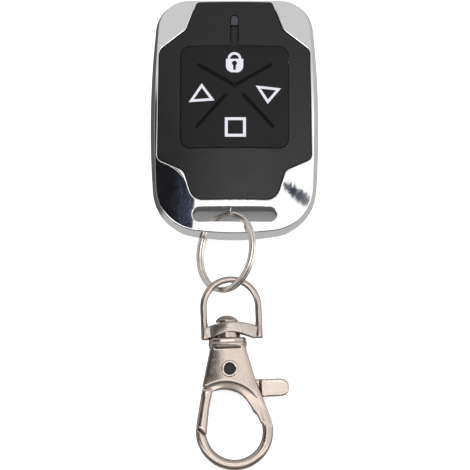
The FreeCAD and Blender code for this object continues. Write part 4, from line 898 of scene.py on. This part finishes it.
def ring_wire():
    """The split ring's flat wire, with rolled edges: two turns that cross over once, and ground ends."""
    low, high = RING_CROSSING
    place = Matrix.Translation(RING_CENTRE) @ Matrix.Rotation(math.radians(-RING_TILT), 4, "Y")
    wide, thick = RING_WIRE
    first, last = low - RING_TURN, high + RING_TURN
    loops = []
    for n in range(RING_STEPS + 1):
        angle = first + (last - first) * n / RING_STEPS
        height = RING_LAYER * (2 * smooth_step((angle - low) / (high - low)) - 1)
        whole = clamped(min(angle - first, last - angle) / RING_GROUND)
        tall = thick * (RING_END_SHARE + (1 - RING_END_SHARE) * whole)
        outward = Vector((math.cos(math.radians(angle)), math.sin(math.radians(angle)), 0))
        sprung = RING_TIP_SPRING * max(0.0, 1 - (angle - first) / RING_TIP) ** 2
        base = outward * (RING_RADIUS - wide / 2 + sprung) + Vector((0, 0, height + sprung * RING_TIP_RISE))
        if base.y > 0:
            base.y *= RING_FLATTENED
        section = rounded_box(-wide / 2, wide / 2, -tall / 2, tall / 2, min(RING_CORNER, tall / 2), 3)
        loops.append([place @ (base + outward * across + Vector((0, 0, up))) for across, up in section])
    creased(dress(capped(from_loops("ring_wire", loops)), "ring_nickel", "ring", ["split_ring"]), 60)


def bail_bow(leg_parts=14, arch_parts=48, round_parts=24):
    """The round wire of the bail's arch, thicker towards its feet."""
    leg = [BAIL_FOOT + (BAIL_SPRING - BAIL_FOOT) * n / leg_parts for n in range(leg_parts)]
    path = [(BAIL_SHIFT + BAIL_HALF, y) for y in leg]
    path += arc_points((BAIL_SHIFT, BAIL_SPRING), BAIL_HALF, 0, 180, arch_parts)
    path += [(BAIL_SHIFT - BAIL_HALF, y) for y in reversed(leg)]
    path = [Vector((x, y, 0)) for x, y in path]
    loops = []
    for n, point in enumerate(path):
        ahead = path[min(n + 1, len(path) - 1)] - path[max(n - 1, 0)]
        out = Vector((ahead.y, -ahead.x, 0)).normalized()
        flare = BAIL_FLARE * rising(-point.y, *BAIL_FLARES)
        loop = []
        for k in range(round_parts):
            turn = 2 * math.pi * k / round_parts
            side = math.cos(turn) * (BAIL_WIRE + (flare if math.cos(turn) < 0 else 0.0))
            up = Vector((0, 0, math.sin(turn) * (BAIL_WIRE + flare)))
            loop.append(CLASP_PLACE @ (point + out * side + up))
        loops.append(loop)
    dress(capped(from_loops("bail_bow", loops)), "clasp_nickel", "bail", ["swivel_bail"])


def bail_band():
    """The band between the feet: it bulges forward over the swivel and is arched underneath."""
    half_span = BAIL_HALF + BAND_OVERHANG
    loops = []
    for n in range(BAND_STEPS + 1):
        x = BAIL_SHIFT - half_span + 2 * half_span * n / BAND_STEPS
        from_middle = x - BAND_MIDDLE
        bulge = BAND_BULGES[0] if from_middle < 0 else BAND_BULGES[1]
        front = BAND_DEPTH - bulge + math.sqrt(max(0.0, bulge ** 2 - from_middle ** 2))
        front = BAND_FOOT_DEPTH + (front - BAND_FOOT_DEPTH) * rising(x, *BAND_BULGES_FROM)
        low = BAND_LOW + BAND_ARCH * hump(x, *BAND_ARCH_SPAN) ** BAND_ARCH_FULLNESS
        low -= BAND_FOOT_DROP * rising(abs(from_middle), *BAND_FEET_DROP)
        high = BAND_HIGH + BAND_CROWN * hump(x, *BAND_CROWN_SPAN)
        end = 1 - BAND_TAPER * rising(abs(x - BAIL_SHIFT), *BAND_TAPERS)
        middle, half = (low + high) / 2, (high - low) / 2 * end
        section = rounded_box(middle - half, middle + half, -front * end, front * end, BAND_SOFT, 4)
        loops.append([CLASP_PLACE @ Vector((x, y, z)) for y, z in section])
    made = dress(capped(from_loops("bail_band", loops)), "clasp_nickel", "bail", finish="brushed_band")
    creased(made, 60)
    upright = CLASP_PLACE @ Matrix.Rotation(math.radians(-90), 4, "X")
    (bore, rim), (foot, top) = SHOULDER_RADII, SHOULDER_HEIGHTS
    profile = [(bore, foot), (rim, foot), (rim, top), (bore, top)]
    turned("swivel_shoulder", upright, profile, "clasp_nickel", "bail")


def cad_copy(name, cad_name):
    """A copy of a node's mesh, in the clasp's own frame and in millimetres."""
    shape = bmesh.new()
    shape.from_mesh(frame["nodes"][cad_name].data)
    bmesh.ops.remove_doubles(shape, verts=shape.verts, dist=1e-7)
    bmesh.ops.transform(shape, matrix=CLASP_PLACE.inverted() @ Matrix.Scale(1 / MM, 4), verts=shape.verts)
    mesh = bpy.data.meshes.new(name)
    shape.to_mesh(mesh)
    shape.free()
    return piece(name, mesh)


def strip_added(made, outer, inner, foot, outer_top, inner_top):
    """Adds a bent bar to a piece between two lines in plan, from one height to a top that slopes inwards."""
    with reshaped(made) as shape:
        rows = []
        for far, near in zip(outer, inner):
            section = [(*far, foot), (*far, outer_top), (*near, inner_top), (*near, foot)]
            rows.append([shape.verts.new(corner) for corner in section])
        for row, after in zip(rows, rows[1:]):
            for n in range(4):
                shape.faces.new((row[n - 1], row[n], after[n], after[n - 1]))
        shape.faces.new(rows[0])
        shape.faces.new(rows[-1])
        bmesh.ops.recalc_face_normals(shape, faces=shape.faces)


def cast(pieces):
    """Turns copies into castings with soft edges: cells of one size, swollen a little and rubbed down."""
    for made in pieces:
        remesh = made.modifiers.new("cells", "REMESH")
        remesh.mode = "VOXEL"
        remesh.voxel_size = CAST_CELL
        push = made.modifiers.new("swell", "DISPLACE")
        push.mid_level = 0.0
        push.strength = CAST_SWELL
        rub = made.modifiers.new("rub", "SMOOTH")
        rub.factor = 0.5
        rub.iterations = CAST_RUBS
    worn = bpy.context.evaluated_depsgraph_get()
    meshes = [bpy.data.meshes.new_from_object(made.evaluated_get(worn)) for made in pieces]
    for made, mesh in zip(pieces, meshes):
        made.modifiers.clear()
        made.data = mesh


def bowed(z, bow, skin):
    """A height sunk towards the middle plane by a bow that fades out inside the piece."""
    return z - math.copysign(bow * rising(abs(z), *skin), z)


def hook_height(x, y, z):
    """The hook's heights: cheeks that fall away from a ridge and level into the loop, and its round top."""
    if y < COLLAR_FOOT:
        begins, run = CHEEKS_FLATTEN
        fall = (1 - clamped((-y - begins) / run)) * (x - CHEEK_RIDGE) ** 2 / (2 * CHEEK_BOW)
        z = math.copysign(abs(z) - fall * rising(abs(z), *CHEEK_SKIN), z)
    levelled = LEVEL_SHARE * rising(-y, *LEVEL_BEGINS) * (1 - rising(-y, *LEVEL_ENDS))
    if abs(z) > LOOP_TOP:
        z = math.copysign(LOOP_TOP + (abs(z) - LOOP_TOP) * (1 - levelled), z)
    across = math.hypot(x - LOOP_CENTRE[0], y - LOOP_CENTRE[1]) - LOOP_MIDDLE
    bow = rising(-y, *LOOP_ROUNDS) * min(across, SECTION_HALF) ** 2 / (2 * LOOP_BOW)
    return bowed(z, bow, LOOP_SKIN)


def gate_height(x, y, z):
    """The gate's heights: the thumb tab's thick root, and the arm's round top."""
    (left, right), (low, high) = TAB_ROOT_ACROSS, TAB_ROOT_ALONG
    if left < x < right and low < y < high:
        thick = z * (1 + TAB_ROOT_SWELL * rising(x, *TAB_SWELLS))
        return max(-TAB_ROOT_HALF, min(TAB_ROOT_HALF, thick))
    across = abs(x - ARM_TOP[0] - ARM_SLOPE * (y - ARM_TOP[1]))
    if y < ARM_TOP[1] and across < ARM_WITHIN:
        bow = rising(-y, *ARM_ROUNDS) * min(across, SECTION_HALF) ** 2 / (2 * ARM_BOW)
        return bowed(z, bow, ARM_SKIN)
    return z


def clasp():
    """The hook with its bowed cheeks and stepped arch, and the gate: cast, tumbled and plated."""
    hook, gate = cad_copy("hook_cast", "hook_body"), cad_copy("gate_cast", "gate_lever")
    outer = arc_points(ARCH_CENTRE, ARCH_RADIUS + LIP_REACH, *LIP_OUTER_ARC) + LIP_OUTER_END
    inner = arc_points(EYE_CENTRE, EYE_RADIUS, *LIP_INNER_ARC) + LIP_INNER_END
    for side in (1, -1):
        strip_added(hook, outer, inner, side * LIP_FOOT, *(side * half for half in LIP_HALVES))
    outwards, inwards = GATE_REACH
    outer = arc_points(ARCH_CENTRE, ARCH_RADIUS + outwards, *GATE_OUTER_ARC)
    inner = arc_points(EYE_CENTRE, EYE_RADIUS - inwards, *GATE_INNER_ARC)
    strip_added(gate, outer, inner, -GATE_HALF, GATE_HALF, GATE_HALF)
    cast([hook, gate])
    for made, height in ((hook, hook_height), (gate, gate_height)):
        for vert in made.data.vertices:
            vert.co.z = height(*vert.co)
    with reshaped(hook) as shape:
        low, high = HORN_ALONG
        horn = [vert for vert in shape.verts if vert.co.x > HORN_INNER and low < vert.co.y < high]
        for _ in range(HORN_RUBS):
            bmesh.ops.smooth_vert(shape, verts=horn, factor=0.5,
                                  use_axis_x=True, use_axis_y=True, use_axis_z=True)
    for made, body, node_name, finish in ((hook, "clasp", "hook_body", "clasp_nickel"),
                                          (gate, "gate", "gate_lever", "gate_nickel")):
        made.data.transform(Matrix.Scale(MM, 4) @ CLASP_PLACE)
        dress(made, "clasp_nickel", body, [node_name], finish=finish)


def gate_rivet():
    """The hollow rivet: rolled rims on both cheeks and a blind hole, with a dark disc at each floor as
    painted shade.
    """
    place = CLASP_PLACE @ Matrix.Translation((*GATE_PIVOT, 0))
    deep, mouth = RIVET_BORE
    rim = arc_points(RIVET_RIM, RIVET_ROLL, 190, -10, 12)
    front = [(0.0, RIVET_FLOOR), (deep, RIVET_FLOOR), (mouth, RIVET_FACE)] + rim + [(RIVET_SHANK, RIVET_FACE)]
    profile = front + [(radius, -height) for radius, height in reversed(front)]
    turned("gate_rivet_rolled", place, profile, "rivet_nickel", "clasp", ["gate_rivet"])
    # On each side, a dark disc at the hole's floor: painted shade
    for side, name in ((1, "front"), (-1, "back")):
        floor = CLASP_PLACE @ Matrix.Translation((*GATE_PIVOT, side * (RIVET_FLOOR + SHADE_DISC_LIFT)))
        reach = deep - SHADE_DISC_GAP
        shade_disc = [(0.0, 0.0), (reach, 0.0), (reach, side * RIVET_FLOOR)]
        turned(f"rivet_core_{name}", floor, shade_disc, "rivet_core", "clasp", count=32)


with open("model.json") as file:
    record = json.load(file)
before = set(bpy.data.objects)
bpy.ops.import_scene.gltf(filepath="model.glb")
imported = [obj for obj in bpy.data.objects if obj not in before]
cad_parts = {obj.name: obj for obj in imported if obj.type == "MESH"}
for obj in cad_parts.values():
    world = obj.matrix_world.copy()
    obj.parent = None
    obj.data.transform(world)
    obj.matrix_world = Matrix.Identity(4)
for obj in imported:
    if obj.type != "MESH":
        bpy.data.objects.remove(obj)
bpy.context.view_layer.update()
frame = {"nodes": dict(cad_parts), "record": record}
camera()
studio()
EFFECTS = {group.name: group for group in (moulded_grain(), handling(), plating(), crevices())}
FINISHES = finishes()
for part in frame["record"]["subparts"]:
    cad_node = frame["nodes"][part["node"]]
    cad_node.data.materials.clear()
    cad_node.data.materials.append(FINISHES[part["material_slot"]])

pad_rim()
for key_name, seams in KEY_SEAMS.items():
    key_piece(key_name, *seams)
signs()
shell_lip()
lamp_groove_edge()
ring_wire()
bail_bow()
bail_band()
clasp()
gate_rivet()
